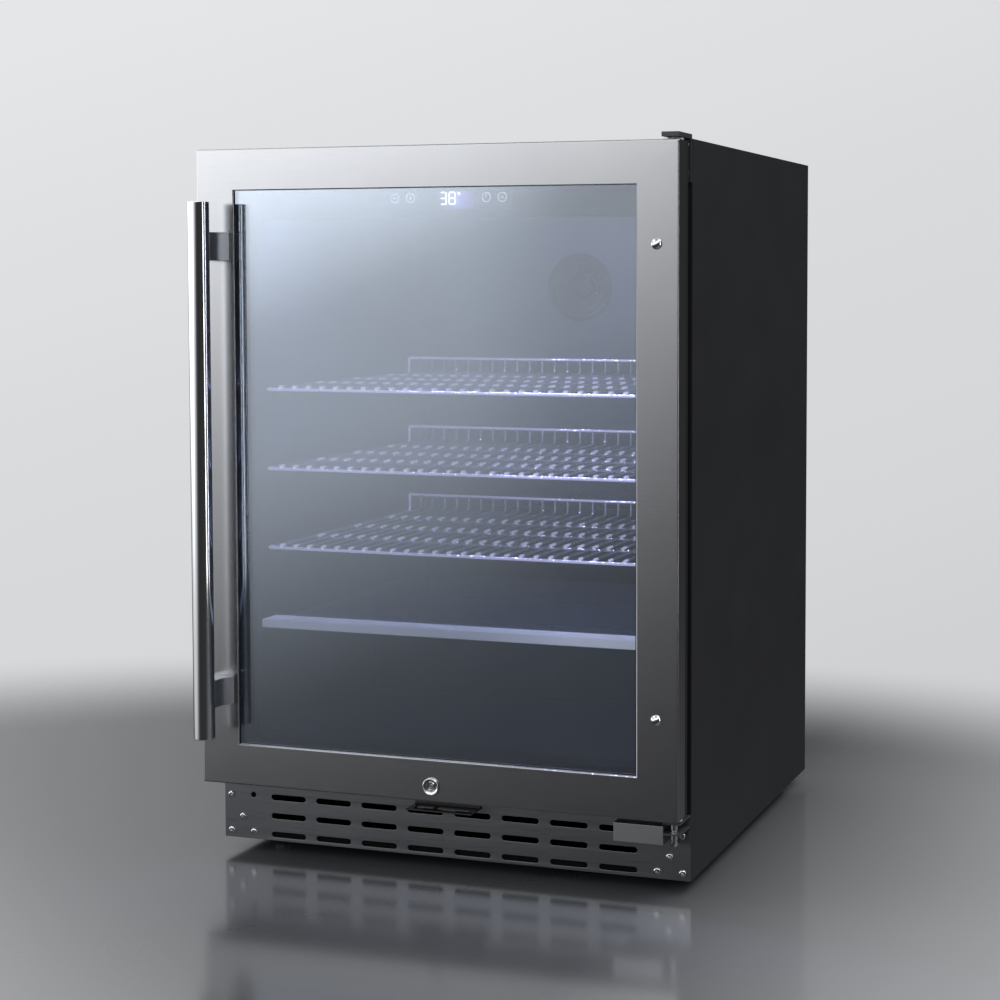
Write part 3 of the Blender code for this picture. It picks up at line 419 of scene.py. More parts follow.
def wires(name, paths, radius, sides=3):
    """Round wires along lists of points, as one curve."""
    curve = bpy.data.curves.new(name, "CURVE")
    curve.dimensions = "3D"
    curve.bevel_depth = radius
    curve.bevel_resolution = sides
    curve.use_fill_caps = True
    for points in paths:
        spline = curve.splines.new("POLY")
        spline.points.add(len(points) - 1)
        for point, place in zip(spline.points, points):
            point.co = (*place, 1)
        spline.use_smooth = True
    return curve


def hoops(name, circles, radius):
    """Closed rings in the XZ plane, from (x, y, z, size) circles."""
    curve = wires(name, [], radius, 2)
    for x, y, z, size in circles:
        spline = curve.splines.new("POLY")
        ring = arc((x, z), size, 0, 352.5, 47)
        spline.points.add(len(ring) - 1)
        for point, (across, up) in zip(spline.points, ring):
            point.co = (across, y, up, 1)
        spline.use_cyclic_u = True
    return curve


def plate(name, outlines, near, far, edge):
    """A flat sheet in the XZ plane with cut-outs and rounded edges, between two depths."""
    curve = bpy.data.curves.new(name, "CURVE")
    curve.dimensions = "2D"
    curve.fill_mode = "BOTH"
    curve.extrude = (far - near) / 2 - edge
    curve.bevel_depth = edge
    curve.bevel_resolution = 1
    curve.offset = -edge
    for outline in outlines:
        spline = curve.splines.new("POLY")
        spline.points.add(len(outline) - 1)
        for point, (x, z) in zip(spline.points, outline):
            point.co = (x, z, 0, 1)
        spline.use_cyclic_u = True
    shape = bpy.data.objects.new(name + "_outline", curve)
    bpy.context.scene.collection.objects.link(shape)
    bpy.context.view_layer.update()
    mesh = bpy.data.meshes.new_from_object(
        shape.evaluated_get(bpy.context.evaluated_depsgraph_get()))
    bpy.data.objects.remove(shape)
    mesh.transform(Matrix.Translation((0, depth((near + far) / 2), 0)) @ TURN["-Y"])
    bm = bmesh.new()
    bm.from_mesh(mesh)
    bpy.data.meshes.remove(mesh)
    return to_mesh(name, bm, 30)


def block(name, low, high, edge, segments=3):
    """Mesh of a box with rounded edges."""
    bm = bmesh.new()
    bmesh.ops.create_cube(bm, size=1)
    size = Vector(high) - Vector(low)
    bmesh.ops.scale(bm, vec=size, verts=bm.verts)
    bmesh.ops.translate(bm, vec=(Vector(low) + Vector(high)) / 2, verts=bm.verts)
    bmesh.ops.bevel(bm, geom=bm.edges[:], offset=edge, segments=segments, profile=0.5,
                    affect="EDGES")
    return to_mesh(name, bm, 60)


def carve(obj, *cutters):
    """Booleans that cut helper meshes away from a piece's mesh."""
    for mesh in cutters:
        helper = bpy.data.objects.new("cutter", mesh)
        bpy.context.scene.collection.objects.link(helper)
        cut = obj.modifiers.new("cut", "BOOLEAN")
        cut.object = helper
        bpy.context.view_layer.update()
        done = bpy.data.meshes.new_from_object(
            obj.evaluated_get(bpy.context.evaluated_depsgraph_get()))
        obj.modifiers.remove(cut)
        obj.data = done
        bpy.data.objects.remove(helper)
    obj.data.shade_smooth()
    obj.data.set_sharp_from_angle(angle=math.radians(SHARP))
    return obj


# ---------------------------------------------------------------- fasteners
def screw_head_mesh():
    """Pan head with a tapered cross recess, at the origin, facing -Y."""
    crown = [(0, 0.0018), (0.0022, 0.00172)] + arc((0.0024, 0.0), 0.0018, 80, 0, 6)[:-1]
    crown += [(0.0042, 0.0003), (0.0042, 0), (0.0021, 0), (0.0021, -0.0012), (0, -0.0012)]
    head = piece("screw_head", turned("screw_head", crown, (0, 0, 0), "-Y", 40),
                 "polished_stainless", "cabinet")
    arms = [block("recess", (-0.0021, -0.003, -0.0004), (0.0021, -0.0006, 0.0004), 0.0002, 1),
            block("recess", (-0.0004, -0.003, -0.0021), (0.0004, -0.0006, 0.0021), 0.0002, 1)]
    mesh = carve(head, *arms).data
    bpy.data.objects.remove(head)
    return mesh


SCREW_HEAD = screw_head_mesh()


def add_screw(name, place, turn=0.0, back=False, size=1.0, replaced=()):
    """One cross-head screw; back turns it to face +Y."""
    mesh = SCREW_HEAD.copy()
    spin = Matrix.Rotation(math.radians(turn), 4, "Y")
    facing = Matrix.Rotation(math.pi if back else 0, 4, "Z")
    mesh.transform(Matrix.Translation(place) @ facing @ spin @ Matrix.Scale(size, 4))
    return piece(name, mesh, "polished_stainless", "cabinet", replaced)


# ---------------------------------------------------------------- door
def make_skin():
    """Folded sheet: rounded outer fold, flat face, and a rounded return at the window."""
    fold, inner_fold, lip = 0.0016, 0.0012, 0.0027
    outside = [(0, SKIN_DEPTH)] + arc((fold, fold), fold, 180, 270, 5)
    outside += arc((FRAME_FACE - inner_fold, inner_fold), inner_fold, 270, 360, 4)
    outside.append((FRAME_FACE, lip))
    inside = [(FRAME_FACE - SHEET, lip), (FRAME_FACE - SHEET, SHEET + 0.0004),
              (FRAME_FACE - SHEET - 0.0004, SHEET), (SHEET + 0.0006, SHEET),
              (SHEET, SHEET + 0.0006), (SHEET, SKIN_DEPTH)]
    mesh = ring_sweep("door_skin", outside + inside, 0.0022, 4)
    even(piece("door_skin", mesh, "brushed_stainless", "door", ("door_skin_frame",)))


def make_gasket():
    """Magnetic seal: a dart flange, bellows folds and the flat magnet pocket."""
    width = 0.0530                  # inset of one side plus that of its mirror image
    fold = [(0.0185, 0.0403), (0.0345, 0.0403), (0.0345, 0.0416), (0.0322, 0.0426),
            (0.0336, 0.0441), (0.0318, 0.0456), (0.0344, 0.0468), (0.0348, 0.0480),
            (0.0348, 0.0508), (0.0340, 0.0517)]
    mirror = [(width - inset, distance) for inset, distance in reversed(fold[2:])]
    even(piece("door_seal", ring_sweep("door_seal", fold + mirror, 0.024, 5), "seal_rubber", "door",
               ("door_gasket",)))


def make_handle():
    """Polished bar with eased ends, on two flared posts."""
    low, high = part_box("handle_bar")
    radius = (high.x - low.x) / 2
    place = middle("handle_bar")
    half = (high.z - low.z) / 2
    rim = [(0, half), (radius - 0.0012, half), (radius - 0.0004, half - 0.0003),
           (radius, half - 0.0010)]
    profile = rim + [(ring, -height) for ring, height in reversed(rim)]
    even(piece("bar_of_handle", turned("bar_of_handle", profile, place, sides=96),
               "polished_stainless", "door", ("handle_bar",)))
    for node in ("handle_post_upper", "handle_post_lower"):
        refine(node, 0.0007, "post_stainless")


def make_plugs():
    """Polished domes over a thin flange."""
    for node in ("hole_plug_upper", "hole_plug_lower"):
        low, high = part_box(node)
        rise = FRONT - low.y
        dome = [(0, rise), (0.0018, rise * 0.97), (0.0034, rise * 0.84), (0.0046, rise * 0.60),
                (0.0052, rise * 0.34), (0.0054, 0.0009), (0.0061, 0.0007), (0.0062, 0.0003),
                (0.0030, 0.0002), (0.0030, -0.0010), (0, -0.0010)]
        place = (middle(node).x, FRONT, middle(node).z)
        piece("dome_of_" + node, turned("dome_of_" + node, dome, place, "-Y", 40),
              "polished_stainless", "door", (node,))


def make_lock():
    """Chromed bezel with a rolled rim, and a plug with a round key way and its notch."""
    low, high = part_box("lock_housing")
    place = (0, FRONT, middle("lock_housing").z)
    proud = FRONT - low.y
    end = FRONT - high.y
    rim = arc((0.0092, proud - 0.0008), 0.0008, 0, 180, 6)
    profile = [(0.0063, end), (0.0085, end), (0.0085, 0.0003), (0.0100, 0.0003)] + rim
    profile += [(0.0074, proud - 0.0012), (0.0066, proud - 0.0012), (0.0063, proud - 0.0016)]
    piece("lock_bezel", turned("lock_bezel", profile, place, "-Y", 64, True), "polished_stainless",
          "door", ("lock_housing",))
    low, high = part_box("lock_plug")
    face = FRONT - low.y
    end = FRONT - high.y
    profile = [(0, face - 0.0004), (0.0009, face - 0.0004), (0.0011, face), (0.0020, face),
               (0.0022, face - 0.0003), (0.0022, face - 0.0035), (0.0040, face - 0.0035),
               (0.0040, face - 0.0003), (0.0042, face), (0.0055, face), (0.0060, face - 0.0005),
               (0.0060, end), (0, end)]
    plug = piece("key_plug", turned("key_plug", profile, place, "-Y", 64), "polished_stainless",
                 "lock", ("lock_plug",))
    carve(plug, block("notch", (-0.0006, FRONT - face - 0.001, place[2] + 0.0030),
                      (0.0006, FRONT - face + 0.002, place[2] + 0.0052), 0.0002, 1))
    refine("lock_cam", 0.0003)


def make_door():
    """Skin, seal, handle, plugs, lock and the glazing behind them."""
    make_skin()
    make_gasket()
    make_handle()
    make_plugs()
    make_lock()
    refine("door_inner_frame", 0.0006)
    refine("glass_spacer", 0.0005)
    for node, material in (("outer_glass", "door_glass"), ("inner_glass", "inner_pane")):
        refine(node, 0.0003, material, 1)
    for node in ("hinge_bush_upper", "hinge_bush_lower"):
        refine(node, 0.0002)


# ---------------------------------------------------------------- hinges and kick plate
PIN_RADIUS = 0.004


def make_hinges():
    """Brackets, the steel cover and two grooved pins."""
    refine("top_hinge_bracket", 0.0005, "hinge_steel", 3)
    refine("bottom_hinge_bracket", 0.0004, "hinge_steel")
    refine("lock_strike_bracket", 0.0004)
    refine("bottom_hinge_cover", 0.0004, "cover_stainless")
    for node in ("top_hinge_pin", "bottom_hinge_pin"):
        low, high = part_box(node)
        half = (high.z - low.z) / 2
        ends = [(0, half), (PIN_RADIUS - 0.0012, half), (PIN_RADIUS - 0.0003, half - 0.0004),
                (PIN_RADIUS, half - 0.0012)]
        groove = [(PIN_RADIUS, half - 0.0060), (PIN_RADIUS - 0.0006, half - 0.0064),
                  (PIN_RADIUS - 0.0006, half - 0.0074), (PIN_RADIUS, half - 0.0078)]
        profile = ends + groove + [(ring, -height) for ring, height in reversed(ends + groove)]
        name = "turned_" + node
        piece(name, turned(name, profile, middle(node), sides=40), "polished_stainless", "cabinet",
              (node,))


SLOT_ROWS = (0.0235, 0.0465, 0.0695)
SLOT_COLUMNS, SLOT_PITCH = 8, 0.0605
SLOT_LENGTH, SLOT_HEIGHT = 0.0464, 0.0070
SPARE_HOLE = (-HALF + 0.0395, 0.0705)
SPARE_HOLE_RADIUS = 0.0035
SCREW_SEAT = 0.0018             # from a screw head's front to the face it sits on
SCREW_TURN = 37                 # degrees from one screw's cross to the next


def slot_outline(x, z, length, height):
    """Points round a slot with half-round ends."""
    radius = height / 2
    reach = length / 2 - radius
    return arc((x + reach, z), radius, -90, 90, 8) + arc((x - reach, z), radius, 90, 270, 8)


def make_kick_plate():
    """Slotted plate, its eight screws, and those of the top hinge and the strike."""
    low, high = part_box("kick_plate")
    near, far = low.y - FRONT, high.y - FRONT
    outlines = [[(low.x, low.z), (high.x, low.z), (high.x, high.z), (low.x, high.z)]]
    for z in SLOT_ROWS:
        for column in range(SLOT_COLUMNS):
            outlines.append(slot_outline(SLOT_PITCH * (column - (SLOT_COLUMNS - 1) / 2), z,
                                         SLOT_LENGTH, SLOT_HEIGHT))
    outlines.append(arc(SPARE_HOLE, SPARE_HOLE_RADIUS, 0, 345, 23))
    even(piece("slotted_kick_plate", plate("slotted_kick_plate", outlines, near, far, 0.0003),
               "kick_stainless", "cabinet", ("kick_plate",)))
    tilt = 10
    for side, word in ((-1, "left"), (1, "right")):
        for z, level in ((0.025, "lower"), (0.069, "upper")):
            node = "kick_screw_%s_%s" % (word, level)
            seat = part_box(node)[0].y + SCREW_SEAT
            tilt += SCREW_TURN
            add_screw("head_of_" + node, (side * (HALF - 0.0095), seat, z), tilt, replaced=(node,))
        for edge, z, level in ((0.025, 0.0430, "middle"), (0.040, 0.0250, "inner")):
            tilt += SCREW_TURN
            add_screw("kick_screw_%s_%s" % (word, level),
                      (side * (HALF - edge), low.y - 0.0002, z), tilt)
    for level, tilt in (("upper", 22), ("lower", 61)):
        node = "top_hinge_screw_" + level
        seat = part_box(node)[0].y + SCREW_SEAT
        add_screw("head_of_" + node, (middle(node).x, seat, middle(node).z), tilt, replaced=(node,))
    for side in (-1, 1):
        add_screw("strike_screw_%s" % ("left" if side < 0 else "right"),
                  (side * 0.034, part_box("lock_strike_bracket")[1].y - 0.0033, 0.0850), 30 * side,
                  size=0.7)


# ---------------------------------------------------------------- shelves
CROSS_RAILS = (0.25, 0.50, 0.75)    # parts of a wire shelf's depth


def make_wire_shelf(word):
    """Front-to-back wires welded over cross rails; every wire bends up into the rear lip."""
    node = "wire_shelf_" + word
    low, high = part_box(node)
    lip = 0.020
    top = high.z - lip
    wire, rail = 0.00165, 0.00185
    count = 27
    spacing = (high.x - low.x - 2 * rail) / count
    xs = [low.x + rail + spacing * k for k in range(1, count)]
    level = top - wire
    under = low.z + rail
    bend = 0.006
    back = high.y - 2 * rail - wire * 0.8
    paths = []
    for x in xs:
        path = [(x, low.y + 0.0003, level)]
        path += [(x, across, up)
                 for across, up in arc((back - bend, level + bend), bend, 270, 360, 6)]
        path.append((x, back, high.z - rail))
        paths.append(path)
    body = "%s_shelf" % word
    piece("%s_shelf_wires" % word, wires("%s_shelf_wires" % word, paths, wire), "shelf_wire", body,
          (node,))
    span = high.y - low.y
    rails = [[(low.x + rail, low.y + span * part, under),
              (high.x - rail, low.y + span * part, under)] for part in CROSS_RAILS]
    piece("%s_shelf_cross_rails" % word, wires("%s_shelf_cross_rails" % word, rails, rail),
          "chromed_wire", body)
    right, near, far = high.x - rail, low.y + rail + 0.0006, high.y - rail
    corner = 0.006
    loop = [(right, far, high.z - rail), (right, far, under + corner)]
    loop += [(right, across, up)
             for across, up in arc((far - corner, under + corner), corner, 0, -90, 5)]
    loop += [(x, y, under) for x, y in arc((right - corner, near + corner), corner, 0, -90, 5)]
    loop += [(-x, y, z) for x, y, z in reversed(loop)]
    lip_rail = [(-right, far, high.z - rail), (right, far, high.z - rail)]
    piece("%s_shelf_frame" % word, wires("%s_shelf_frame" % word, [loop, lip_rail], rail, 4),
          "shelf_rail", body)


def make_glass_shelf():
    """Pane and its trim, with the cabinet's blue light on the trim painted on as a glow."""
    refine("glass_shelf_pane", 0.0006)
    refine("glass_shelf_trim", 0.0012, "shelf_trim", 3)


# ---------------------------------------------------------------- controls
SEGMENTS = {"a": (0, 1, True), "b": (0.5, 0.5, False), "c": (0.5, -0.5, False), "d": (0, -1, True),
            "e": (-0.5, -0.5, False), "f": (-0.5, 0.5, False), "g": (0, 0, True)}
DIGITS = {"3": "abcdg", "8": "abcdefg"}
DIGIT_WIDE, DIGIT_TALL = 0.0074, 0.0068
BAR_LENGTH, BAR_WIDTH = 0.0066, 0.0017
DIGIT_PITCH, DIGIT_START = 0.0112, -0.0062
ICON_PLACES = (-0.068, -0.048, 0.048, 0.068)
ICON_RADIUS, ICON_WIRE = 0.0052, 0.00030
ICON_RISE = 0.0008              # of the icons' middle over the digits' middle


def segment_outline(x, z, length, width, flat):
    """A bar with pointed ends, lying or standing."""
    half, tip = length / 2, width / 2
    points = [(-half, 0), (-half + tip, tip), (half - tip, tip), (half, 0), (half - tip, -tip),
              (-half + tip, -tip)]
    return [(x + (a if flat else b), z + (b if flat else a)) for a, b in points]


def make_readout():
    """Seven-segment number, degree ring and four touch icons, printed on the lens."""
    low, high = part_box("display_lens")
    face = low.y - FRONT
    middle_z = (low.z + high.z) / 2 + 0.001
    for order, digit in enumerate("38"):
        outlines = [segment_outline(DIGIT_START + DIGIT_PITCH * order + DIGIT_WIDE * across,
                                    middle_z + DIGIT_TALL * up, BAR_LENGTH, BAR_WIDTH, flat)
                    for across, up, flat in (SEGMENTS[name] for name in DIGITS[digit])]
        name = "readout_digit_%d" % (order + 1)
        piece(name, plate(name, outlines, face - 0.00016, face - 0.00002, 0.00002), "digits",
              "cabinet")
    line = low.y - 0.0001
    ring = hoops("readout_degree", [(0.0138, line, middle_z + 0.0056, 0.0013)], 0.00045)
    piece("readout_degree", ring, "digits", "cabinet")
    level = middle_z + ICON_RISE
    rings = hoops("touch_icons", [(x, line, level, ICON_RADIUS) for x in ICON_PLACES], ICON_WIRE)
    piece("touch_icons", rings, "icons", "cabinet")
    minus, plus, timer, arrow = ICON_PLACES
    marks = [[(x - 0.0022, line, level), (x + 0.0022, line, level)] for x in (minus, plus)]
    marks.append([(plus, line, middle_z - 0.0014), (plus, line, middle_z + 0.0030)])
    marks.append([(timer, line, level), (timer, line, middle_z + 0.0044)])
    marks.append([(arrow - 0.0018, line, middle_z - 0.0010), (arrow, line, middle_z + 0.0022),
                  (arrow + 0.0018, line, middle_z - 0.0010)])
    piece("touch_icon_marks", wires("touch_icon_marks", marks, ICON_WIRE, 2), "icons", "cabinet")


def make_controls():
    """Control band, its lens, the light bar and what the lens shows."""
    refine("control_fascia", 0.0006)
    refine("display_lens", 0.0003)
    refine("led_light_bar", 0.0006)
    make_readout()


# ---------------------------------------------------------------- cold side
FAN_THICK = 0.0110
BLADE_THIN = 0.0009
BLADE_TURN, BLADE_SWEEP = 46, 12        # degrees that a blade covers, and its lean at the tip


def make_fan(node, blades, hub):
    """Moulded rotor with a domed hub and swept, twisted blades."""
    low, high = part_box(node)
    place = middle(node)
    reach = min(high.z - low.z, high.x - low.x) / 2
    front = low.y + 0.0003
    bm = bmesh.new()
    across, out = 8, 10
    for blade in range(blades):
        sheets = []
        for side in (-BLADE_THIN / 2, BLADE_THIN / 2):
            grid = []
            for i in range(out + 1):
                part = i / out
                radius = hub * 0.9 + (reach - 0.0006 - hub * 0.9) * part
                row = []
                for j in range(across + 1):
                    chord = j / across - 0.5
                    swing = math.radians(BLADE_TURN * chord + BLADE_SWEEP * part * part)
                    lift = FAN_THICK * 0.42 * chord * 2 * (1 - 0.35 * part)
                    lift += 0.0012 * math.cos(3 * chord)
                    angle = 2 * math.pi * blade / blades + swing
                    row.append(bm.verts.new((place.x + radius * math.cos(angle),
                                             front + FAN_THICK / 2 + lift * 0.8 + side,
                                             place.z + radius * math.sin(angle))))
                grid.append(row)
            sheets.append(grid)
        for grid in sheets:
            for i in range(out):
                for j in range(across):
                    bm.faces.new((grid[i][j], grid[i][j + 1], grid[i + 1][j + 1], grid[i + 1][j]))
        rims = [[g[0] for g in grid] + grid[-1][1:] + [g[-1] for g in reversed(grid[:-1])]
                + grid[0][-2:0:-1] for grid in sheets]
        for k in range(len(rims[0])):
            after = (k + 1) % len(rims[0])
            bm.faces.new((rims[0][k], rims[0][after], rims[1][after], rims[1][k]))
    piece("moulded_" + node, to_mesh("moulded_" + node, bm), "black_plastic", BODY_OF[node],
          (node,))
    dome = [(0, FAN_THICK), (hub * 0.55, FAN_THICK - 0.0004), (hub * 0.88, FAN_THICK - 0.0018),
            (hub, FAN_THICK - 0.0044), (hub, 0), (0.0026, 0), (0.0026, -0.0100), (0, -0.0100)]
    back = front + FAN_THICK
    piece("hub_of_" + node, turned("hub_of_" + node, dome, (place.x, back, place.z), "-Y", 48),
          "black_plastic", BODY_OF[node])


def make_guard(name, x, y, z, radius, wire, spokes=8):
    """Concentric wire rings with radial spokes."""
    rings = [(x, y, z, radius * part) for part in (0.22, 0.42, 0.61, 0.80, 0.99)]
    piece(name + "_rings", hoops(name + "_rings", rings, wire), "black_plastic", "cabinet")
    spans = [[(x + radius * part * math.cos(math.tau * k / spokes), y - wire,
               z + radius * part * math.sin(math.tau * k / spokes)) for part in (0.22, 0.99)]
             for k in range(spokes)]
    piece(name + "_spokes", wires(name + "_spokes", spans, wire), "black_plastic", "cabinet")


def make_cold_side():
    """Liner, evaporator cover, its fan and the fan's guard."""
    refine("inner_liner", 0.0012, segments=3)
    refine("evaporator_cover", 0.0006)
    make_fan("evaporator_fan", 7, 0.0150)
    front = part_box("evaporator_cover")[0].y
    fan = middle("evaporator_fan")
    make_guard("cold_fan_guard", fan.x, front - 0.0010, fan.z, 0.047, 0.0008)


# ---------------------------------------------------------------- machine compartment and case
def make_compressor():
    """Welded shell with a seam flange, a rounded crown and terminal cover, on its foot plate."""
    low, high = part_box("compressor")
    base = low.z
    place = (middle("compressor").x, 0.240, base)
    crown = arc((0.030, 0.108), 0.040, 90, 0, 10)
    profile = [(0, 0.150), (0.020, 0.1497)] + [(r, h + 0.0012) for r, h in crown]
    profile += [(0.0705, 0.078), (0.074, 0.076), (0.074, 0.069), (0.0705, 0.067), (0.069, 0.036)]
    profile += arc((0.045, 0.036), 0.024, 0, -90, 6) + [(0, 0.012)]
    piece("compressor_shell", turned("compressor_shell", profile, place, sides=64), "black_bracket",
          "cabinet", ("compressor",))
    foot = block("compressor_foot_plate", (low.x + 0.001, 0.181, base),
                 (high.x - 0.001, 0.299, base + 0.012), 0.004, 3)
    piece("compressor_foot_plate", foot, "black_bracket", "cabinet")
    cover = block("compressor_terminal_cover", (place[0] - 0.022, 0.300, base + 0.045),
                  (place[0] + 0.022, 0.3125, base + 0.095), 0.003, 3)
    piece("compressor_terminal_cover", cover, "black_plastic", "cabinet")


def make_legs():
    """Levelling feet: pad, hexagon and threaded stud."""
    for node in [name for name in BODY_OF if name.startswith("leg_")]:
        low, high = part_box(node)
        place = (middle(node).x, middle(node).y, 0)
        pad = [(0, 0.0108), (0.0104, 0.0108), (0.0110, 0.0100), (0.0158, 0.0062), (0.0176, 0.0036),
               (0.0180, 0.0022), (0.0180, 0.0006), (0.0174, 0), (0, 0)]
        piece("pad_of_" + node, turned("pad_of_" + node, pad, place, sides=48), "black_plastic",
              BODY_OF[node], (node,))
        nut = [(0, 0.0192), (0.0100, 0.0192), (0.0108, 0.0186), (0.0108, 0.0112), (0.0100, 0.0106),
               (0, 0.0106)]
        hexagon = turned("hexagon_of_" + node, nut, place, sides=6, smooth_angle=20)
        piece("hexagon_of_" + node, hexagon, "galvanised_steel", BODY_OF[node])
        pitch, crest, root = 0.00125, 0.0048, 0.0042
        stud = [(0, 0.0600), (root, 0.0600)]
        rise = 0.0594
        while rise > 0.0205:
            stud += [(crest, rise), (root, rise - pitch / 2)]
            rise -= pitch
        stud += [(root, 0.0190), (0, 0.0190)]
        piece("stud_of_" + node, turned("stud_of_" + node, stud, place, sides=24, smooth_angle=25),
              "galvanised_steel", BODY_OF[node])


def make_machinery():
    """What stands in the machine compartment, the gland and the feet."""
    make_compressor()
    make_fan("condenser_fan", 5, 0.0180)
    for node in ("condenser_fan_shroud", "drain_tray", "condenser_fan_motor",
                 "evaporator_fan_motor"):
        refine(node, 0.0006)
    refine("cord_gland", 0.0004)
    make_legs()


REAR_SCREW_EDGE = 0.010
REAR_SCREW_ROWS = (0.300, 0.580)


def make_case():
    """Wrap, base, face frame and the rear panel with its screws."""
    refine("cabinet_wrap", 0.0003)
    refine("rear_panel", 0.0003, angle=50)
    refine("base_pan", 0.0003, "pan_black_and_painted_shade")
    refine("front_face_frame", 0.0005)
    low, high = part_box("rear_panel")
    rows = (low.z + REAR_SCREW_EDGE, *REAR_SCREW_ROWS, high.z - REAR_SCREW_EDGE)
    for column, x in enumerate((low.x + REAR_SCREW_EDGE, 0.0, high.x - REAR_SCREW_EDGE)):
        for row, z in enumerate(rows):
            add_screw("rear_screw_%d_%d" % (column, row), (x, high.y + 0.0001, z),
                      25 * (row + column), back=True, size=0.9)


def finish_cad_nodes():
    """Every CAD node that still shows takes its slot's material."""
    for node, obj in frame["nodes"].items():
        obj.data.materials.clear()
        obj.data.materials.append(MATERIALS[SLOT_OF[node]])
        if obj.hide_render:
            continue
        obj.data.shade_smooth()
        obj.data.set_sharp_from_angle(angle=math.radians(SHARP))


# ---------------------------------------------------------------- floor, light and camera
FLOOR_CENTRE = Vector((0, -0.9, 0))
FLOOR_RADIUS = 2.15
FLOOR_FADE = (1.45, 2.1)        # distances from the centre
FLOOR_PAINTED_LIGHT_SPAN = (-0.2, 1.1)        # X over which light painted on the floor grows brighter


def camera_only(nodes, links, unseen, seen):
    """One shader for camera rays and another for all other rays."""
    rays = nodes.new("ShaderNodeLightPath")
    mix = nodes.new("ShaderNodeMixShader")
    links.new(rays.outputs["Is Camera Ray"], mix.inputs["Fac"])
    links.new(unseen, mix.inputs[1])
    links.new(seen, mix.inputs[2])
    return mix.outputs["Shader"]


def make_floor():
    """A disc with painted light growing toward +X, that fades out at its rim and that only camera
    rays see.
    """
    bm = bmesh.new()
    bmesh.ops.create_circle(bm, cap_ends=True, segments=96, radius=FLOOR_RADIUS,
                            matrix=Matrix.Translation(FLOOR_CENTRE))
    floor = bpy.data.objects.new("studio_floor", to_mesh("studio_floor", bm))
    bpy.context.scene.collection.objects.link(floor)
    shader = Shader("floor", (0.070, 0.073, 0.078), 0.14, Specular_IOR_Level=0.38)
    fine = shader.pattern("Noise", 160)
    nodes, links = shader.nodes, shader.links
    # painted light: the floor's colour runs from dark to pale across X, for the brighter light on
    # the right
    across = remap(nodes, links, object_axis(nodes, links, "X"), FLOOR_PAINTED_LIGHT_SPAN)
    painted_light = ramp_node(nodes, [(0.0, shader.colour), (0.35, (0.085, 0.088, 0.093)),
                              (0.60, (0.32, 0.325, 0.33)), (1.0, (0.62, 0.625, 0.63))])
    links.new(across, painted_light.inputs["Fac"])
    links.new(painted_light.outputs["Color"], shader.bsdf.inputs["Base Color"])
    shader.gloss(fine, 0.04)
    shader.relief(fine, 0.004)
    fade = remap(nodes, links, distance_to(nodes, links, FLOOR_CENTRE), FLOOR_FADE, (1.0, 0.0),
                 smooth=True)
    links.new(fade, shader.bsdf.inputs["Alpha"])
    clear = nodes.new("ShaderNodeBsdfTransparent")
    mixed = camera_only(nodes, links, clear.outputs["BSDF"], shader.bsdf.outputs["BSDF"])
    links.new(mixed, nodes["Material Output"].inputs["Surface"])
    floor.data.materials.append(shader.material)
    return floor


def cool_grey(value):
    """Grey with a slight blue cast."""
    return (value, value * 1.012, value * 1.03)


def direction_shade(nodes, links, way, stops, strength):
    """Background whose brightness runs along one direction, from (distance, radiance) stops."""
    place = nodes.new("ShaderNodeTexCoord")
    dot = nodes.new("ShaderNodeVectorMath")
    dot.operation = "DOT_PRODUCT"
    dot.inputs[1].default_value = way
    links.new(place.outputs["Generated"], dot.inputs[0])
    first, last = stops[0][0], stops[-1][0]
    along = remap(nodes, links, dot.outputs["Value"], (first, last))
    ramp = ramp_node(nodes, [((at - first) / (last - first), cool_grey(value / strength))
                             for at, value in stops])
    links.new(along, ramp.inputs["Fac"])
    background = nodes.new("ShaderNodeBackground")
    background.inputs["Strength"].default_value = strength
    links.new(ramp.outputs["Color"], background.inputs["Color"])
    return background.outputs["Background"]


STUDIO_WAY = (-0.55, -0.20, 1.0)
STUDIO_STOPS = ((-1.10, 0.16), (-0.70, 0.12), (-0.50, 0.035), (0.05, 0.03), (0.10, 0.036),
                (0.18, 0.074), (0.22, 0.11), (0.25, 0.19), (0.295, 0.35), (0.345, 0.58),
                (0.385, 0.68), (0.415, 0.76), (0.44, 1.12), (0.505, 2.25), (0.58, 2.50),
                (0.75, 1.20), (1.00, 0.50), (1.20, 0.35))
BACKDROP_WAY = (-0.35, 0, 1.0)
BACKDROP_STOPS = ((-0.55, 0.40), (-0.20, 0.60), (-0.05, 0.66), (0.13, 0.70), (0.55, 0.88))


def make_world():
    """Studio light for reflections, bright up and to the left, and a pale backdrop to see."""
    world = bpy.data.worlds.new("studio")
    bpy.context.scene.world = world
    world.use_nodes = True
    nodes, links = world.node_tree.nodes, world.node_tree.links
    nodes.clear()
    studio = direction_shade(nodes, links, STUDIO_WAY, STUDIO_STOPS, 2.5)
    backdrop = direction_shade(nodes, links, BACKDROP_WAY, BACKDROP_STOPS, 1.0)
    output = nodes.new("ShaderNodeOutputWorld")
    links.new(camera_only(nodes, links, studio, backdrop), output.inputs["Surface"])


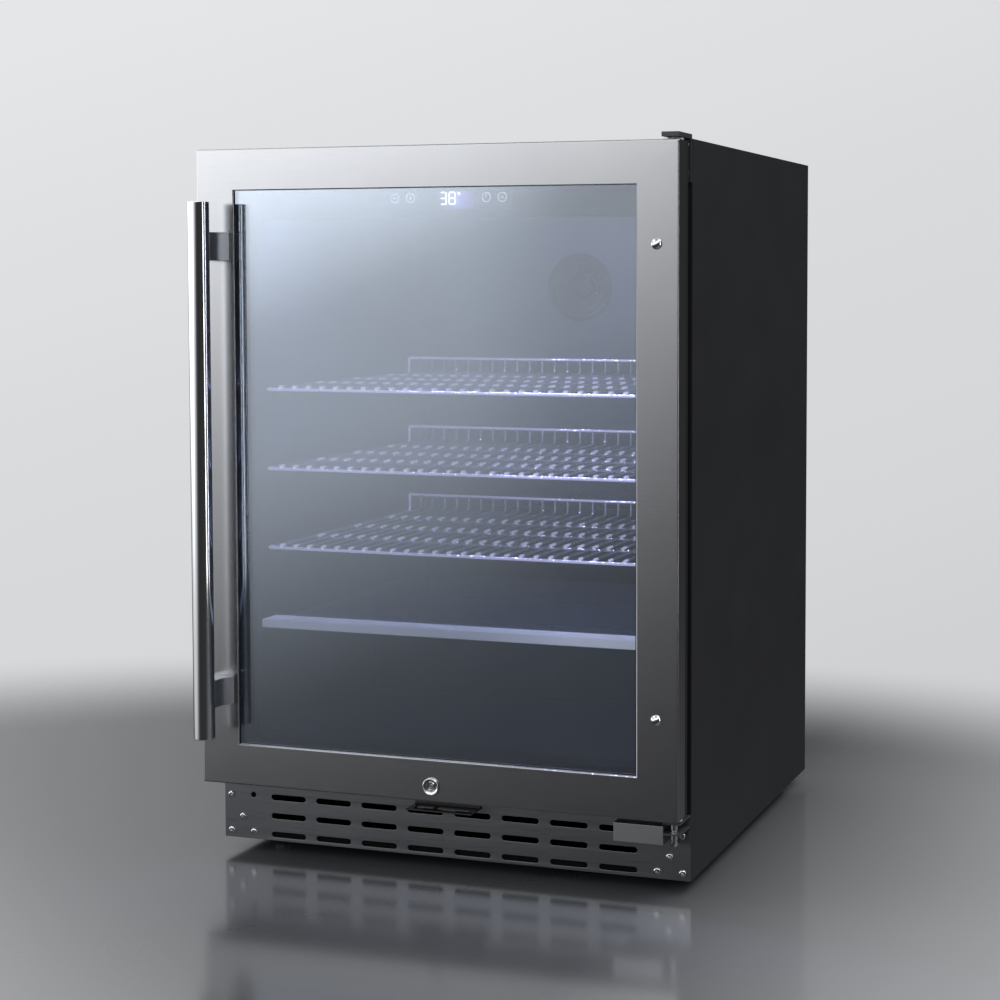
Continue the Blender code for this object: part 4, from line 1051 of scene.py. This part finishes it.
def add_area(name, place, target, size, energy, colour):
    """Rectangular light that faces a target."""
    light = bpy.data.lights.new(name, "AREA")
    light.shape = "RECTANGLE"
    light.size, light.size_y = size
    light.energy = energy
    light.color = colour
    obj = bpy.data.objects.new(name, light)
    obj.location = place
    aim = Vector(target) - Vector(place)
    obj.rotation_euler = aim.to_track_quat("-Z", "Y").to_euler()
    bpy.context.scene.collection.objects.link(obj)
    return obj


def make_lights(floor):
    """Softbox, side strip that leaves the floor dark, side fill and the cabinet's own light."""
    add_area("key_softbox", (-2.4, -1.2, 3.0), (0, 0, 0.4), (1.8, 1.8), 18, (1, 1, 1))
    strip = add_area("right_strip", (2.4, -0.87, 0.9), (0, -0.35, 0.5), (0.30, 2.0), 8, (1, 1, 1))
    unlit = bpy.data.collections.new("not_lit_by_right_strip")
    unlit.objects.link(floor)
    strip.light_linking.receiver_collection = unlit
    unlit.collection_objects[0].light_linking.link_state = "EXCLUDE"
    add_area("right_fill", (2.0, 0.7, 2.0), (0.9, 0, 0), (1.2, 1.2), 18, (1, 1, 1))
    bar = middle("led_light_bar")
    add_area("cabinet_light", (bar.x, bar.y, bar.z - 0.006), (0, bar.y + 0.10, 0.14), (0.39, 0.010),
             5.5, (0.46, 0.50, 1.0))


CAMERA_PLACE = (0.9407, -2.3864, 0.6997)
CAMERA_YAW, CAMERA_PITCH, CAMERA_LENS = 18.609, 3.413, 72.33
CAMERA_SHIFT = (-0.12, -0.10)


def make_camera():
    """Shifted lens in front of the object and to its right, looking slightly down."""
    data = bpy.data.cameras.new("camera")
    data.sensor_width = 36
    data.lens = CAMERA_LENS
    data.shift_x, data.shift_y = CAMERA_SHIFT
    camera = bpy.data.objects.new("camera", data)
    camera.location = CAMERA_PLACE
    camera.rotation_euler = (math.radians(90 - CAMERA_PITCH), 0, math.radians(CAMERA_YAW))
    bpy.context.scene.collection.objects.link(camera)
    bpy.context.scene.camera = camera


bpy.context.scene.view_settings.view_transform = "Standard"
make_camera()
make_door()
make_hinges()
make_kick_plate()
for shelf in ("upper", "middle", "lower"):
    make_wire_shelf(shelf)
make_glass_shelf()
make_controls()
make_cold_side()
make_machinery()
make_case()
finish_cad_nodes()
studio_floor = make_floor()
make_world()
make_lights(studio_floor)
